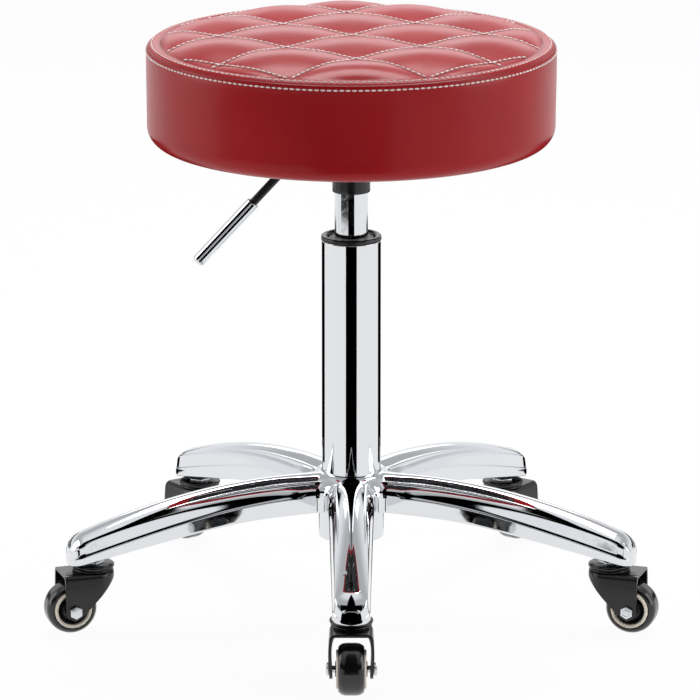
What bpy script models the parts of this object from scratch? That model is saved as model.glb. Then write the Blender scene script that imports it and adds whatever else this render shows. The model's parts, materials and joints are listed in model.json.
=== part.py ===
"""Rolling stylist stool: a round upholstered seat on a gas lift, a five-star chrome base and five swivel casters.

Everything is in metres with +Z up and the floor at Z = 0. The stool is built round its column axis, and one
empty then shifts it along Y so that the middle of the whole object's footprint is the origin: five casters
reach further towards -Y than towards +Y.
"""

from math import asin, atan2, cos, hypot, pi, radians, sin, sqrt, tau

import bmesh
import bpy
from mathutils import Matrix, Vector

# Fits
GAP = 0.0003                      # between pieces that touch
WELD = 0.00001                    # merge distance of turned profiles
CUT_PAST = 0.001                  # how far a cutter reaches past what it cuts

# Seat cushion
SEAT_RADIUS = 0.171
SEAT_BOTTOM = 0.4045
SEAT_TOP = 0.500
SEAT_EDGE = 0.4885                # height where the top panel leaves the side band
SEAT_EDGE_RADIUS = 0.004
SEAT_CORNER = 0.015               # radius of the bottom corner
COVER_THICKNESS = 0.0016
HEM_INSET = 0.032                 # from the side of the seat to where the cover ends under the board
BOARD_INSET = 0.017
BOARD_THICKNESS = 0.012
DUST_COVER_THICKNESS = 0.001
SCREW_TIP_DEPTH = 0.002           # from the board's upper face down to the tip of a screw

# Seat plate and lever channel
PLATE_SIZE = 0.150
PLATE_THICKNESS = 0.0025
PLATE_CORNER = 0.018
SCREW_SPACING = 0.110
SCREW_RADIUS = 0.003
SCREW_CLEARANCE = 0.0004
SCREW_HEAD_ACROSS = 0.010
SCREW_HEAD_HEIGHT = 0.004
CHANNEL_LENGTH = 0.068
CHANNEL_WIDTH = 0.046
CHANNEL_DEPTH = 0.0219
CHANNEL_WALL = 0.0025
CHANNEL_BEND = 0.003
SOCKET_RADIUS = 0.016
SOCKET_BOTTOM = 0.365
SOCKET_TOP = 0.3865
SOCKET_CHAMFER = 0.002

# Height lever: it lies along -X, and its handle slopes down
PIVOT_X = -0.020
PIVOT_Z = 0.394
PIVOT_PIN_RADIUS = 0.002
PIN_HEAD_RADIUS = 0.0034
PIN_HEAD_HEIGHT = 0.0015
LEVER_ROD_RADIUS = 0.0035
LEVER_BEND_X = -0.0435
LEVER_BEND_RADIUS = 0.010
LEVER_SLOPE = radians(47.5)
LEVER_EYE_RADIUS = 0.0065
LEVER_EYE_LENGTH = 0.012
LEVER_PADDLE_END = 0.004
LEVER_PADDLE_WIDTH = 0.009
LEVER_PADDLE_THICKNESS = 0.003
LEVER_ROOT = 0.002                # how far the rod and the paddle run into the eye
HANDLE_START = 0.0570             # along the slope, from the bend
HANDLE_LENGTH = 0.070
HANDLE_RADIUS = 0.0055
HANDLE_GRIP = 0.026               # length of rod inside the handle
HANDLE_EDGE = 0.0008

# Gas lift
TUBE_RADIUS = 0.025
TUBE_WALL = 0.0015
TUBE_TOP = 0.320
TUBE_BOTTOM = 0.0665
TUBE_FOOT_RADIUS = 0.0242
CAP_TOP = 0.3275
CAP_BORE = 0.0195
CAP_OVERHANG = 0.0005
CAP_EDGE = 0.0012
PLUG_DEPTH = 0.008                # how far the cap reaches into the outer tube
CYLINDER_RADIUS = 0.014
CYLINDER_WALL = 0.0015
CYLINDER_BOTTOM = 0.090
CYLINDER_TOP = 0.384
CYLINDER_TAPER = 0.0005           # how much the radius shrinks inside the seat socket
CYLINDER_END = 0.004              # thickness of the closed top
CYLINDER_EDGE = 0.0008
LIFT_TRAVEL = 0.120
BUSH_LENGTH = 0.090
BUSH_TOP = 0.322
ROD_RADIUS = 0.005
ROD_NECK_RADIUS = 0.004
ROD_BOTTOM = 0.0628
PISTON_LENGTH = 0.014
PISTON_GRIP = 0.009               # how deep the rod sits in the piston
GUIDE_LENGTH = 0.016
GUIDE_INSET = 0.0015
TOP_STOP = 0.0125                 # left between the rod guide and the piston at full height
BUTTON_RADIUS = 0.004
BUTTON_EDGE = 0.001
BUTTON_TOP = 0.3902
BUTTON_TRAVEL = 0.0036
BUTTON_LENGTH = 0.0257
VALVE_LENGTH = 0.030
BUMP_STOP_RADIUS = 0.012
BUMP_STOP_TAPER = 0.0015
BALL_RADIUS = 0.0016
BALL_COUNT = 8
BALL_CIRCLE = 0.0095
CAGE_WIDTH = 0.0048
CAGE_THICKNESS = 0.001

# Five-star base
ARM_COUNT = 5
HUB_TOP = 0.1195
HUB_RADIUS = 0.0345
HUB_BOSS_RADIUS = 0.028
HUB_BOTTOM = 0.062
HUB_EDGE = 0.004
ARM_START = 0.0285
ARM_END = 0.2500
ARM_CROWN = 0.1195                # top of the arm beside the hub
ARM_ARCH_RADIUS = 0.5123          # of the arc that the crown follows beyond ARM_LEVEL
ARM_LEVEL = 0.050
ARM_UNDERSIDE = 0.0905
ARM_UNDERSIDE_SLOPE = 0.208
ARM_UNDERSIDE_KNEE = 0.100        # where the underside starts to slope down
ARM_UNDERSIDE_BLEND = 0.040       # how gently it does
ARM_HALF_WIDTH = 0.0197
ARM_TIP_HALF_WIDTH = 0.0155
ARM_NOSE = 0.012                  # radius of the rounded end
ARM_WALL = 0.0045
LEDGE_START = 0.048               # where the ledge along the arm's sides begins
LEDGE_FULL = 0.062
LEDGE_WIDEST = 0.235
CAVITY_START = 0.040
CAVITY_END = 0.206

# Casters
CASTER_RADIUS = 0.228             # from the column to the stem
TRAIL = 0.0203                    # from the stem to the axle
WHEEL_RADIUS = 0.0215
TYRE_WIDTH = 0.0215
TYRE_SHOULDER = 0.0038
TYRE_SEGMENTS = 24
CORE_RADIUS = 0.016
CORE_LIP = 0.003                  # width of the pale ring
CORE_WIDTH = 0.0246
CORE_WEB = 0.012
HUB_CORE_RADIUS = 0.0065
HUB_CORE_WIDTH = 0.0262
AXLE_RADIUS = 0.0029
AXLE_HEAD_ACROSS = 0.010
AXLE_OUT = 0.0210                 # from the wheel's middle to the outer face of the bolt head
AXLE_TIP = 0.0008                 # how far the bolt stands out of its nut
FORK_WIDTH = 0.0356
FORK_INNER = 0.0284
FORK_TOP = 0.053
FORK_CROWN = 0.0035
FORK_BACK = 0.016                 # from the stem to the side away from the wheel
FORK_SHOULDER = 0.0475
FORK_END_RADIUS = 0.0082
FORK_EDGE = 0.004
FORK_FILLET = 0.002
STEM_RADIUS = 0.0055
STEM_TOP = 0.0805
FLANGE_RADIUS = 0.018
FLANGE_TOP = 0.0585
FLANGE_BOTTOM = 0.055
STEM_HEX_ACROSS = 0.017
SOCKET_FLOOR = 0.0605             # underside of the boss that takes the stem
SOCKET_BOSS_RADIUS = 0.0155
SOCKET_BOSS_HEIGHT = 0.012
KING_PIN_RADIUS = 0.0047
KING_PIN_HEAD_RADIUS = 0.0075
KING_PIN_HEAD_HEIGHT = 0.0026
FLANGE_EDGE = 0.001
STEM_EDGE = 0.001
RACE_RADIUS = 0.0140               # the raceway under the flange, which the fork turns against

# Mesh fineness
FINE = 40
ROUND = 24
SMALL = 12
ARCH_STEPS = 6
CAVITY_STEPS = 4
SHARP_ANGLE = radians(35)

# The footprint's reach towards -Y and +Y from the column, which sets where the column stands
HALF_TURN_OF_STAR = pi / ARM_COUNT
FRONT_REACH = CASTER_RADIUS + TRAIL + WHEEL_RADIUS
BACK_REACH = (FRONT_REACH - TYRE_SHOULDER / 2) * cos(HALF_TURN_OF_STAR) + TYRE_WIDTH / 2 * sin(HALF_TURN_OF_STAR)
COLUMN_Y = (FRONT_REACH - BACK_REACH) / 2

RED_LEATHER = ("red leather", (0.52, 0.012, 0.028), 0.32, 0.0)
FOAM = ("pale foam", (0.80, 0.74, 0.52), 0.9, 0.0)
PLYWOOD = ("plywood", (0.56, 0.38, 0.21), 0.7, 0.0)
BLACK_CLOTH = ("black lining", (0.02, 0.02, 0.022), 0.9, 0.0)
BLACK_STEEL = ("black painted steel", (0.014, 0.014, 0.016), 0.35, 0.0)
BLACK_PLASTIC = ("black plastic", (0.018, 0.018, 0.02), 0.3, 0.0)
CHROME = ("chrome", (0.86, 0.87, 0.89), 0.06, 1.0)
ZINC_STEEL = ("zinc plated steel", (0.66, 0.67, 0.68), 0.3, 1.0)
BEARING_STEEL = ("bearing steel", (0.58, 0.58, 0.6), 0.2, 1.0)
ALUMINIUM = ("aluminium", (0.72, 0.73, 0.75), 0.35, 1.0)
BLACK_TYRE = ("black polyurethane", (0.012, 0.012, 0.014), 0.28, 0.0)
CREAM_NYLON = ("cream nylon", (0.86, 0.80, 0.68), 0.4, 0.0)
RUBBER = ("black rubber", (0.02, 0.02, 0.02), 0.8, 0.0)
PALE_NYLON = ("pale nylon", (0.75, 0.76, 0.76), 0.5, 0.0)


# Scene, collections and materials

def clear_scene():
    for obj in list(bpy.data.objects):
        bpy.data.objects.remove(obj)


def new_collection(name):
    collection = bpy.data.collections.new(name)
    bpy.context.scene.collection.children.link(collection)
    return collection


def material(finish):
    name, colour, roughness, metallic = finish
    found = bpy.data.materials.get(name)
    if found:
        return found
    made = bpy.data.materials.new(name)
    made.use_nodes = True
    made.diffuse_color = (*colour, 1.0)
    shader = made.node_tree.nodes["Principled BSDF"]
    shader.inputs["Base Color"].default_value = (*colour, 1.0)
    shader.inputs["Roughness"].default_value = roughness
    shader.inputs["Metallic"].default_value = metallic
    return made


def empty(name, parent=None, location=(0, 0, 0), turn=0.0):
    made = bpy.data.objects.new(name, None)
    made.empty_display_size = 0.02
    made.location = location
    made.rotation_euler = (0, 0, turn)
    made.parent = parent
    parts.objects.link(made)
    return made


def show(name, mesh, finish, parent, matrix=None):
    """A named piece of the stool, with its own finish, placed under its parent."""
    made = bpy.data.objects.new(name, mesh)
    parts.objects.link(made)
    made.parent = parent
    if matrix is not None:
        made.matrix_local = matrix
    if not mesh.materials:
        mesh.materials.append(material(finish))
    mesh.shade_smooth()
    mesh.set_sharp_from_angle(angle=SHARP_ANGLE)
    return made


# Shapes

def mesh_of(build, name):
    """The mesh that build(bm) makes."""
    bm = bmesh.new()
    build(bm)
    mesh = bpy.data.meshes.new(name)
    bm.to_mesh(mesh)
    bm.free()
    return mesh


def baked(obj, name):
    """The evaluated mesh of obj, which is then removed."""
    graph = bpy.context.evaluated_depsgraph_get()
    mesh = bpy.data.meshes.new_from_object(obj.evaluated_get(graph))
    mesh.name = name
    mesh.transform(obj.matrix_world)
    bpy.data.objects.remove(obj)
    return mesh


def turned(profile, segments, closed=True, name="turned"):
    """A mesh turned about Z. The profile of (radius, z) runs down its outer side; an open one ends on the axis."""
    def outline(bm):
        points = [bm.verts.new((radius, 0, z)) for radius, z in profile]
        pairs = list(zip(points, points[1:]))
        if closed:
            pairs.append((points[-1], points[0]))
        for pair in pairs:
            bm.edges.new(pair)

    blank = bpy.data.objects.new(name, mesh_of(outline, name))
    cutters.objects.link(blank)
    screw = blank.modifiers.new("turn", "SCREW")
    screw.steps = screw.render_steps = segments
    screw.use_merge_vertices = True
    screw.merge_threshold = WELD
    return baked(blank, name)


def cylinder(bm, radius, bottom, top, segments, centre=(0, 0)):
    middle = Matrix.Translation((*centre, (bottom + top) / 2))
    bmesh.ops.create_cone(
        bm, cap_ends=True, segments=segments, radius1=radius, radius2=radius, depth=top - bottom, matrix=middle
    )


def hexagon(bm, across, bottom, top, centre=(0, 0)):
    cylinder(bm, across / 2 / cos(pi / 6), bottom, top, 6, centre)


def box(bm, low, high):
    size = Vector(high) - Vector(low)
    middle = (Vector(high) + Vector(low)) / 2
    placed = Matrix.Translation(middle) @ Matrix.Diagonal((*size, 1))
    bmesh.ops.create_cube(bm, size=1, matrix=placed)


def loft(bm, rings):
    """Closed skin through rings of equal length, with flat ends."""
    loops = [[bm.verts.new(point) for point in ring] for ring in rings]
    for near, far in zip(loops, loops[1:]):
        for i, corner in enumerate(near):
            j = (i + 1) % len(near)
            bm.faces.new((corner, near[j], far[j], far[i]))
    bm.faces.new(reversed(loops[0]))
    bm.faces.new(loops[-1])
    bmesh.ops.recalc_face_normals(bm, faces=bm.faces)


def combined(name, body, *changes):
    """The mesh of body after Booleans. Each change is (operation, mesh); the meshes are used up."""
    blank = bpy.data.objects.new(name, body)
    cutters.objects.link(blank)
    tools = []
    for operation, mesh in changes:
        tool = bpy.data.objects.new(name + " tool", mesh)
        tool.hide_render = True
        tool.display_type = "WIRE"
        cutters.objects.link(tool)
        change = blank.modifiers.new(operation.lower(), "BOOLEAN")
        change.operation = operation
        change.solver = "EXACT"
        change.object = tool
        tools.append(tool)
    mesh = baked(blank, name)
    for tool in tools:
        bpy.data.objects.remove(tool)
    return mesh


def corners_of_plate():
    half = SCREW_SPACING / 2
    return [(x, y) for x in (-half, half) for y in (-half, half)]


# Seat

def cushion_outline(inset, arc_steps=4, crown_steps=5):
    """The cushion's outer outline from the top of the axis to the start of the bottom, moved inwards by inset."""
    radius = SEAT_RADIUS - inset
    rise = SEAT_TOP - SEAT_EDGE
    edge_radius = radius - SEAT_EDGE_RADIUS
    outline = [(0.0, SEAT_TOP - inset)]
    for step in range(1, crown_steps):
        part = sqrt(step / crown_steps)
        outline.append((edge_radius * part, SEAT_EDGE - inset + rise * sqrt(1 - part**8)))
    outline.append((edge_radius, SEAT_EDGE - inset))
    outline.append((radius, SEAT_EDGE - inset - SEAT_EDGE_RADIUS))
    for step in range(arc_steps + 1):
        angle = pi / 2 * step / arc_steps
        reach = SEAT_CORNER - inset
        centre = SEAT_RADIUS - SEAT_CORNER
        outline.append((centre + reach * cos(angle), SEAT_BOTTOM + SEAT_CORNER - reach * sin(angle)))
    return outline


HEM_RADIUS = SEAT_RADIUS - HEM_INSET
BOARD_RADIUS = SEAT_RADIUS - BOARD_INSET
BOARD_BOTTOM = SEAT_BOTTOM + COVER_THICKNESS + GAP
BOARD_TOP = BOARD_BOTTOM + BOARD_THICKNESS
PLATE_TOP = SEAT_BOTTOM - GAP
PLATE_BOTTOM = PLATE_TOP - PLATE_THICKNESS


def seat_cover():
    outside = cushion_outline(0.0)
    inside = cushion_outline(COVER_THICKNESS)
    hem = [(HEM_RADIUS, SEAT_BOTTOM), (HEM_RADIUS, SEAT_BOTTOM + COVER_THICKNESS)]
    return turned(outside + hem + inside[::-1], FINE, closed=False, name="seat_cover")


def seat_foam():
    outside = cushion_outline(COVER_THICKNESS + GAP)
    recess = BOARD_RADIUS + GAP
    inner = [(recess, outside[-1][1]), (recess, BOARD_TOP + GAP), (0.0, BOARD_TOP + GAP)]
    return turned(outside + inner, FINE, closed=False, name="seat_foam")


def plate_with_holes(name, blank, radius, bottom, top):
    """The mesh of blank(bm) with the four screw holes through it."""
    def holes(bm):
        for place in corners_of_plate():
            cylinder(bm, radius, bottom - CUT_PAST, top + CUT_PAST, SMALL, place)

    return combined(name, mesh_of(blank, "blank"), ("DIFFERENCE", mesh_of(holes, "holes")))


def seat_board():
    def disc(bm):
        cylinder(bm, BOARD_RADIUS, BOARD_BOTTOM, BOARD_TOP, FINE)

    return plate_with_holes("seat_board", disc, SCREW_RADIUS + GAP, BOARD_BOTTOM, BOARD_TOP)


def dust_cover():
    top = SEAT_BOTTOM + DUST_COVER_THICKNESS

    def disc(bm):
        cylinder(bm, HEM_RADIUS - 2 * GAP, SEAT_BOTTOM, top, FINE)

    return plate_with_holes("dust_cover", disc, SCREW_RADIUS + SCREW_CLEARANCE, SEAT_BOTTOM, top)


def seat_plate():
    half = PLATE_SIZE / 2

    def sheet(bm):
        box(bm, (-half, -half, PLATE_BOTTOM), (half, half, PLATE_TOP))
        upright = [edge for edge in bm.edges if abs(edge.verts[0].co.z - edge.verts[1].co.z) > PLATE_THICKNESS / 2]
        bmesh.ops.bevel(bm, geom=upright, offset=PLATE_CORNER, segments=4, profile=0.5, affect="EDGES", material=-1)

    return plate_with_holes("seat_plate", sheet, SCREW_RADIUS + SCREW_CLEARANCE, PLATE_BOTTOM, PLATE_TOP)


def seat_screw():
    def head(bm):
        hexagon(bm, SCREW_HEAD_ACROSS, PLATE_BOTTOM - GAP - SCREW_HEAD_HEIGHT, PLATE_BOTTOM - GAP)

    def shank(bm):
        cylinder(bm, SCREW_RADIUS, PLATE_BOTTOM - SCREW_HEAD_HEIGHT / 2, BOARD_TOP - SCREW_TIP_DEPTH, 8)

    return combined("seat_screw", mesh_of(head, "head"), ("UNION", mesh_of(shank, "shank")))


def lever_channel():
    top = PLATE_BOTTOM - GAP
    bottom = top - CHANNEL_DEPTH
    length, width = CHANNEL_LENGTH / 2, CHANNEL_WIDTH / 2
    inner = width - CHANNEL_WALL

    def block(bm):
        box(bm, (-length, -width, bottom), (length, width, top))
        lower = [edge for edge in bm.edges if all(v.co.z < bottom + WELD for v in edge.verts)]
        long_ones = [edge for edge in lower if abs(edge.verts[0].co.y - edge.verts[1].co.y) < WELD]
        bmesh.ops.bevel(bm, geom=long_ones, offset=CHANNEL_BEND, segments=2, profile=0.5, affect="EDGES", material=-1)

    def trough(bm):
        box(bm, (-length - CUT_PAST, -inner, bottom + CHANNEL_WALL), (length + CUT_PAST, inner, top + CUT_PAST))

    def mouth(bm):
        cylinder(bm, SOCKET_RADIUS + GAP, bottom - CUT_PAST, bottom + CHANNEL_WALL + CUT_PAST, ROUND)

    def pin_hole(bm):
        cylinder(bm, PIVOT_PIN_RADIUS + GAP, -width - CUT_PAST, width + CUT_PAST, SMALL)
        bmesh.ops.transform(bm, verts=bm.verts, matrix=along_y(PIVOT_X, PIVOT_Z))

    cuts = [("DIFFERENCE", mesh_of(cut, "cut")) for cut in (trough, mouth, pin_hole)]
    return combined("lever_channel", mesh_of(block, "block"), *cuts)


def along_y(x, z):
    """Turns Z into Y and moves the axis to (x, z)."""
    return Matrix.Translation((x, 0, z)) @ Matrix.Rotation(-pi / 2, 4, "X")


def socket_tube():
    """The welded tube under the seat plate that grips the top of the gas lift."""
    chamfer = SOCKET_CHAMFER
    mouth = CYLINDER_RADIUS + GAP
    profile = [
        (mouth - CYLINDER_TAPER, SOCKET_TOP), (SOCKET_RADIUS, SOCKET_TOP), (SOCKET_RADIUS, SOCKET_BOTTOM + chamfer),
        (SOCKET_RADIUS - chamfer / 3, SOCKET_BOTTOM + chamfer / 3), (mouth + 0.0004, SOCKET_BOTTOM),
        (mouth, SOCKET_BOTTOM + chamfer),
    ]
    return turned(profile, ROUND, name="socket_tube")


def lever_pin():
    reach = CHANNEL_WIDTH / 2
    seat = reach + GAP
    end = reach + PIN_HEAD_HEIGHT
    profile = [
        (0, seat + PIN_HEAD_HEIGHT), (PIN_HEAD_RADIUS, seat + PIN_HEAD_HEIGHT), (PIN_HEAD_RADIUS, seat),
        (PIVOT_PIN_RADIUS, seat), (PIVOT_PIN_RADIUS, -end), (0, -end),
    ]
    return turned(profile, SMALL, closed=False, name="lever_pin")


# Lever. Its meshes are made about the pivot, because its parent empty stands there.

def lever_rod():
    down = Vector((-cos(LEVER_SLOPE), 0, -sin(LEVER_SLOPE)))
    bend = Vector((LEVER_BEND_X - PIVOT_X, 0, 0))
    trim = LEVER_BEND_RADIUS * sin(LEVER_SLOPE / 2) / cos(LEVER_SLOPE / 2)
    start = Vector((LEVER_ROOT - LEVER_EYE_RADIUS, 0, 0))
    route = [start]
    steps = 4
    centre = bend + Vector((trim, 0, -LEVER_BEND_RADIUS))
    for step in range(steps + 1):
        angle = LEVER_SLOPE * step / steps
        route.append(centre + LEVER_BEND_RADIUS * Vector((-sin(angle), 0, cos(angle))))
    route.append(bend + down * (HANDLE_START + HANDLE_GRIP))
    rod = tube_mesh(route, LEVER_ROD_RADIUS, "rod")

    eye = turned([
        (PIVOT_PIN_RADIUS + GAP, LEVER_EYE_LENGTH / 2), (LEVER_EYE_RADIUS, LEVER_EYE_LENGTH / 2),
        (LEVER_EYE_RADIUS, -LEVER_EYE_LENGTH / 2), (PIVOT_PIN_RADIUS + GAP, -LEVER_EYE_LENGTH / 2),
    ], SMALL)
    eye.transform(along_y(0, 0))

    def paddle(bm):
        low, half = BUTTON_TOP + GAP - PIVOT_Z, LEVER_PADDLE_WIDTH / 2
        high = low + LEVER_PADDLE_THICKNESS
        box(bm, (LEVER_EYE_RADIUS - LEVER_ROOT, -half, low), (LEVER_PADDLE_END - PIVOT_X, half, high))

    return combined("lever_rod", rod, ("UNION", eye), ("UNION", mesh_of(paddle, "paddle")))


def tube_mesh(route, radius, name):
    """A round bar along the route, as one closed mesh."""
    curve = bpy.data.curves.new(name, "CURVE")
    curve.dimensions = "3D"
    curve.bevel_depth = radius
    curve.bevel_resolution = 3
    curve.use_fill_caps = True
    spline = curve.splines.new("POLY")
    spline.points.add(len(route) - 1)
    for point, place in zip(spline.points, route):
        point.co = (*place, 1)
    blank = bpy.data.objects.new(name, curve)
    cutters.objects.link(blank)
    mesh = baked(blank, name)
    bpy.data.curves.remove(curve)
    return welded(mesh)


def welded(mesh):
    bm = bmesh.new()
    bm.from_mesh(mesh)
    bmesh.ops.remove_doubles(bm, verts=bm.verts, dist=WELD)
    bmesh.ops.recalc_face_normals(bm, faces=bm.faces)
    bm.to_mesh(mesh)
    bm.free()
    return mesh


def lever_handle():
    """The chrome sleeve on the end of the lever, about the lever's pivot."""
    bore_floor = HANDLE_LENGTH - HANDLE_GRIP - GAP
    top, edge = HANDLE_LENGTH, HANDLE_EDGE
    profile = [
        (0, top), (HANDLE_RADIUS - edge, top), (HANDLE_RADIUS, top - edge), (HANDLE_RADIUS, edge),
        (HANDLE_RADIUS - edge, 0), (0, 0),
    ]

    def bore(bm):
        cylinder(bm, LEVER_ROD_RADIUS + GAP, bore_floor, HANDLE_LENGTH + CUT_PAST, SMALL)

    made = combined("lever_handle", turned(profile, 16, closed=False), ("DIFFERENCE", mesh_of(bore, "bore")))
    along = Vector((-cos(LEVER_SLOPE), 0, -sin(LEVER_SLOPE)))
    low_end = Vector((LEVER_BEND_X - PIVOT_X, 0, 0)) + (HANDLE_START + HANDLE_LENGTH) * along
    made.transform(Matrix.Translation(low_end) @ Matrix.Rotation(pi / 2 - LEVER_SLOPE, 4, "Y"))
    return made


# Gas lift

CYLINDER_BORE = CYLINDER_RADIUS - CYLINDER_WALL
TUBE_BORE = TUBE_RADIUS - TUBE_WALL
TUBE_FLOOR_TOP = TUBE_BOTTOM + 0.0025
RACE_THICKNESS = 0.002
LOWER_RACE_TOP = TUBE_FLOOR_TOP + GAP + RACE_THICKNESS
BALL_HEIGHT = LOWER_RACE_TOP + GAP + BALL_RADIUS
UPPER_RACE_BOTTOM = BALL_HEIGHT + BALL_RADIUS + GAP
UPPER_RACE_TOP = UPPER_RACE_BOTTOM + RACE_THICKNESS


def outer_tube():
    foot_bore = TUBE_FOOT_RADIUS - TUBE_WALL
    return turned([
        (TUBE_RADIUS, TUBE_TOP), (TUBE_RADIUS, HUB_TOP), (TUBE_FOOT_RADIUS, TUBE_BOTTOM),
        (ROD_NECK_RADIUS + 2 * GAP, TUBE_BOTTOM), (ROD_NECK_RADIUS + 2 * GAP, TUBE_FLOOR_TOP),
        (foot_bore, TUBE_FLOOR_TOP), (TUBE_BORE, HUB_TOP), (TUBE_BORE, TUBE_TOP),
    ], ROUND, name="outer_tube")


PLUG_RADIUS = TUBE_BORE - GAP
PLUG_BOTTOM = TUBE_TOP - PLUG_DEPTH


def ring_cap():
    rim = TUBE_RADIUS + CAP_OVERHANG
    return turned([
        (rim - CAP_EDGE, CAP_TOP), (rim, CAP_TOP - CAP_EDGE), (rim, TUBE_TOP + GAP), (PLUG_RADIUS, TUBE_TOP + GAP),
        (PLUG_RADIUS, PLUG_BOTTOM), (CAP_BORE, PLUG_BOTTOM), (CAP_BORE, BUSH_TOP + CAP_EDGE),
        (rim - 3 * CAP_EDGE, CAP_TOP),
    ], ROUND, name="ring_cap")


def guide_bush():
    shoulder = PLUG_BOTTOM - GAP
    bore = CYLINDER_RADIUS + GAP
    bottom = BUSH_TOP - BUSH_LENGTH
    return turned([
        (CAP_BORE - GAP, BUSH_TOP), (CAP_BORE - GAP, shoulder), (PLUG_RADIUS, shoulder), (PLUG_RADIUS, bottom),
        (bore, bottom), (bore, BUSH_TOP),
    ], ROUND, name="guide_bush")


def pressure_tube():
    end = CYLINDER_TOP - CYLINDER_END
    button_hole = BUTTON_RADIUS + GAP
    tapered = CYLINDER_RADIUS - CYLINDER_TAPER
    return turned([
        (tapered - CYLINDER_EDGE, CYLINDER_TOP), (tapered, CYLINDER_TOP - CYLINDER_EDGE),
        (CYLINDER_RADIUS, SOCKET_BOTTOM), (CYLINDER_RADIUS, CYLINDER_BOTTOM), (CYLINDER_BORE, CYLINDER_BOTTOM), (CYLINDER_BORE, end),
        (button_hole, end), (button_hole, CYLINDER_TOP),
    ], ROUND, name="pressure_tube")


VALVE_TOP = CYLINDER_TOP - CYLINDER_END - GAP
BUTTON_BOTTOM = BUTTON_TOP - BUTTON_LENGTH


def valve_block():
    outside = CYLINDER_BORE - GAP
    inside = BUTTON_RADIUS + GAP
    floor = BUTTON_BOTTOM - BUTTON_TRAVEL - GAP
    return turned([
        (0, floor), (inside, floor), (inside, VALVE_TOP), (outside, VALVE_TOP), (outside, VALVE_TOP - VALVE_LENGTH),
        (0, VALVE_TOP - VALVE_LENGTH),
    ], SMALL, closed=False, name="valve_block")


def valve_button():
    return turned([
        (0, BUTTON_TOP), (BUTTON_RADIUS - BUTTON_EDGE, BUTTON_TOP), (BUTTON_RADIUS, BUTTON_TOP - BUTTON_EDGE),
        (BUTTON_RADIUS, BUTTON_BOTTOM), (0, BUTTON_BOTTOM),
    ], SMALL, closed=False, name="valve_button")


GUIDE_BOTTOM = CYLINDER_BOTTOM + GUIDE_INSET
GUIDE_TOP = GUIDE_BOTTOM + GUIDE_LENGTH


def rod_guide():
    outside = CYLINDER_BORE - GAP
    bore = ROD_RADIUS + GAP
    return turned([
        (outside, GUIDE_TOP), (outside, GUIDE_BOTTOM), (bore, GUIDE_BOTTOM), (bore, GUIDE_TOP),
    ], SMALL, name="rod_guide")


PISTON_BOTTOM = GUIDE_TOP + LIFT_TRAVEL + TOP_STOP
PISTON_RADIUS = CYLINDER_BORE - GAP
SEAL_GROOVE_RADIUS = 0.0105
SEAL_WIDTH = 0.003
ROD_TOP = PISTON_BOTTOM + PISTON_GRIP


def piston():
    top = PISTON_BOTTOM + PISTON_LENGTH
    middle = (top + PISTON_BOTTOM) / 2
    groove = SEAL_WIDTH / 2 + GAP
    bore = ROD_RADIUS + GAP
    return turned([
        (0, top), (PISTON_RADIUS, top), (PISTON_RADIUS, middle + groove), (SEAL_GROOVE_RADIUS, middle + groove),
        (SEAL_GROOVE_RADIUS, middle - groove), (PISTON_RADIUS, middle - groove), (PISTON_RADIUS, PISTON_BOTTOM),
        (bore, PISTON_BOTTOM), (bore, ROD_TOP + GAP), (0, ROD_TOP + GAP),
    ], ROUND, closed=False, name="piston")


def piston_seal():
    middle = PISTON_BOTTOM + PISTON_LENGTH / 2
    high, low = middle + SEAL_WIDTH / 2, middle - SEAL_WIDTH / 2
    inner = SEAL_GROOVE_RADIUS + GAP
    return turned([(PISTON_RADIUS, high), (PISTON_RADIUS, low), (inner, low), (inner, high)], ROUND)


CLIP_BOTTOM = 0.0649
CLIP_THICKNESS = 0.0008
CLIP_GROOVE_RADIUS = 0.0030
CLIP_RADIUS = 0.0068
CLIP_MOUTH = 0.0052


def piston_rod():
    return turned([
        (0, ROD_TOP), (ROD_RADIUS, ROD_TOP), (ROD_RADIUS, UPPER_RACE_TOP + GAP),
        (ROD_NECK_RADIUS, UPPER_RACE_TOP + GAP), (ROD_NECK_RADIUS, CLIP_BOTTOM + CLIP_THICKNESS + GAP),
        (CLIP_GROOVE_RADIUS, CLIP_BOTTOM + CLIP_THICKNESS + GAP), (CLIP_GROOVE_RADIUS, CLIP_BOTTOM - GAP),
        (ROD_NECK_RADIUS, CLIP_BOTTOM - GAP), (ROD_NECK_RADIUS, ROD_BOTTOM), (0, ROD_BOTTOM),
    ], SMALL, closed=False, name="piston_rod")


def rod_clip():
    outer, inner = CLIP_RADIUS, CLIP_GROOVE_RADIUS + GAP
    top = CLIP_BOTTOM + CLIP_THICKNESS
    ring = turned([(outer, top), (outer, CLIP_BOTTOM), (inner, CLIP_BOTTOM), (inner, top)], SMALL)

    def slot(bm):
        box(bm, (0, -CLIP_MOUTH / 2, CLIP_BOTTOM - CUT_PAST), (2 * outer, CLIP_MOUTH / 2, top + CUT_PAST))

    return combined("rod_clip", ring, ("DIFFERENCE", mesh_of(slot, "slot")))


def race(bottom, bore, name):
    top = bottom + RACE_THICKNESS
    return turned([(CYLINDER_RADIUS, top), (CYLINDER_RADIUS, bottom), (bore, bottom), (bore, top)], SMALL, name=name)


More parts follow.
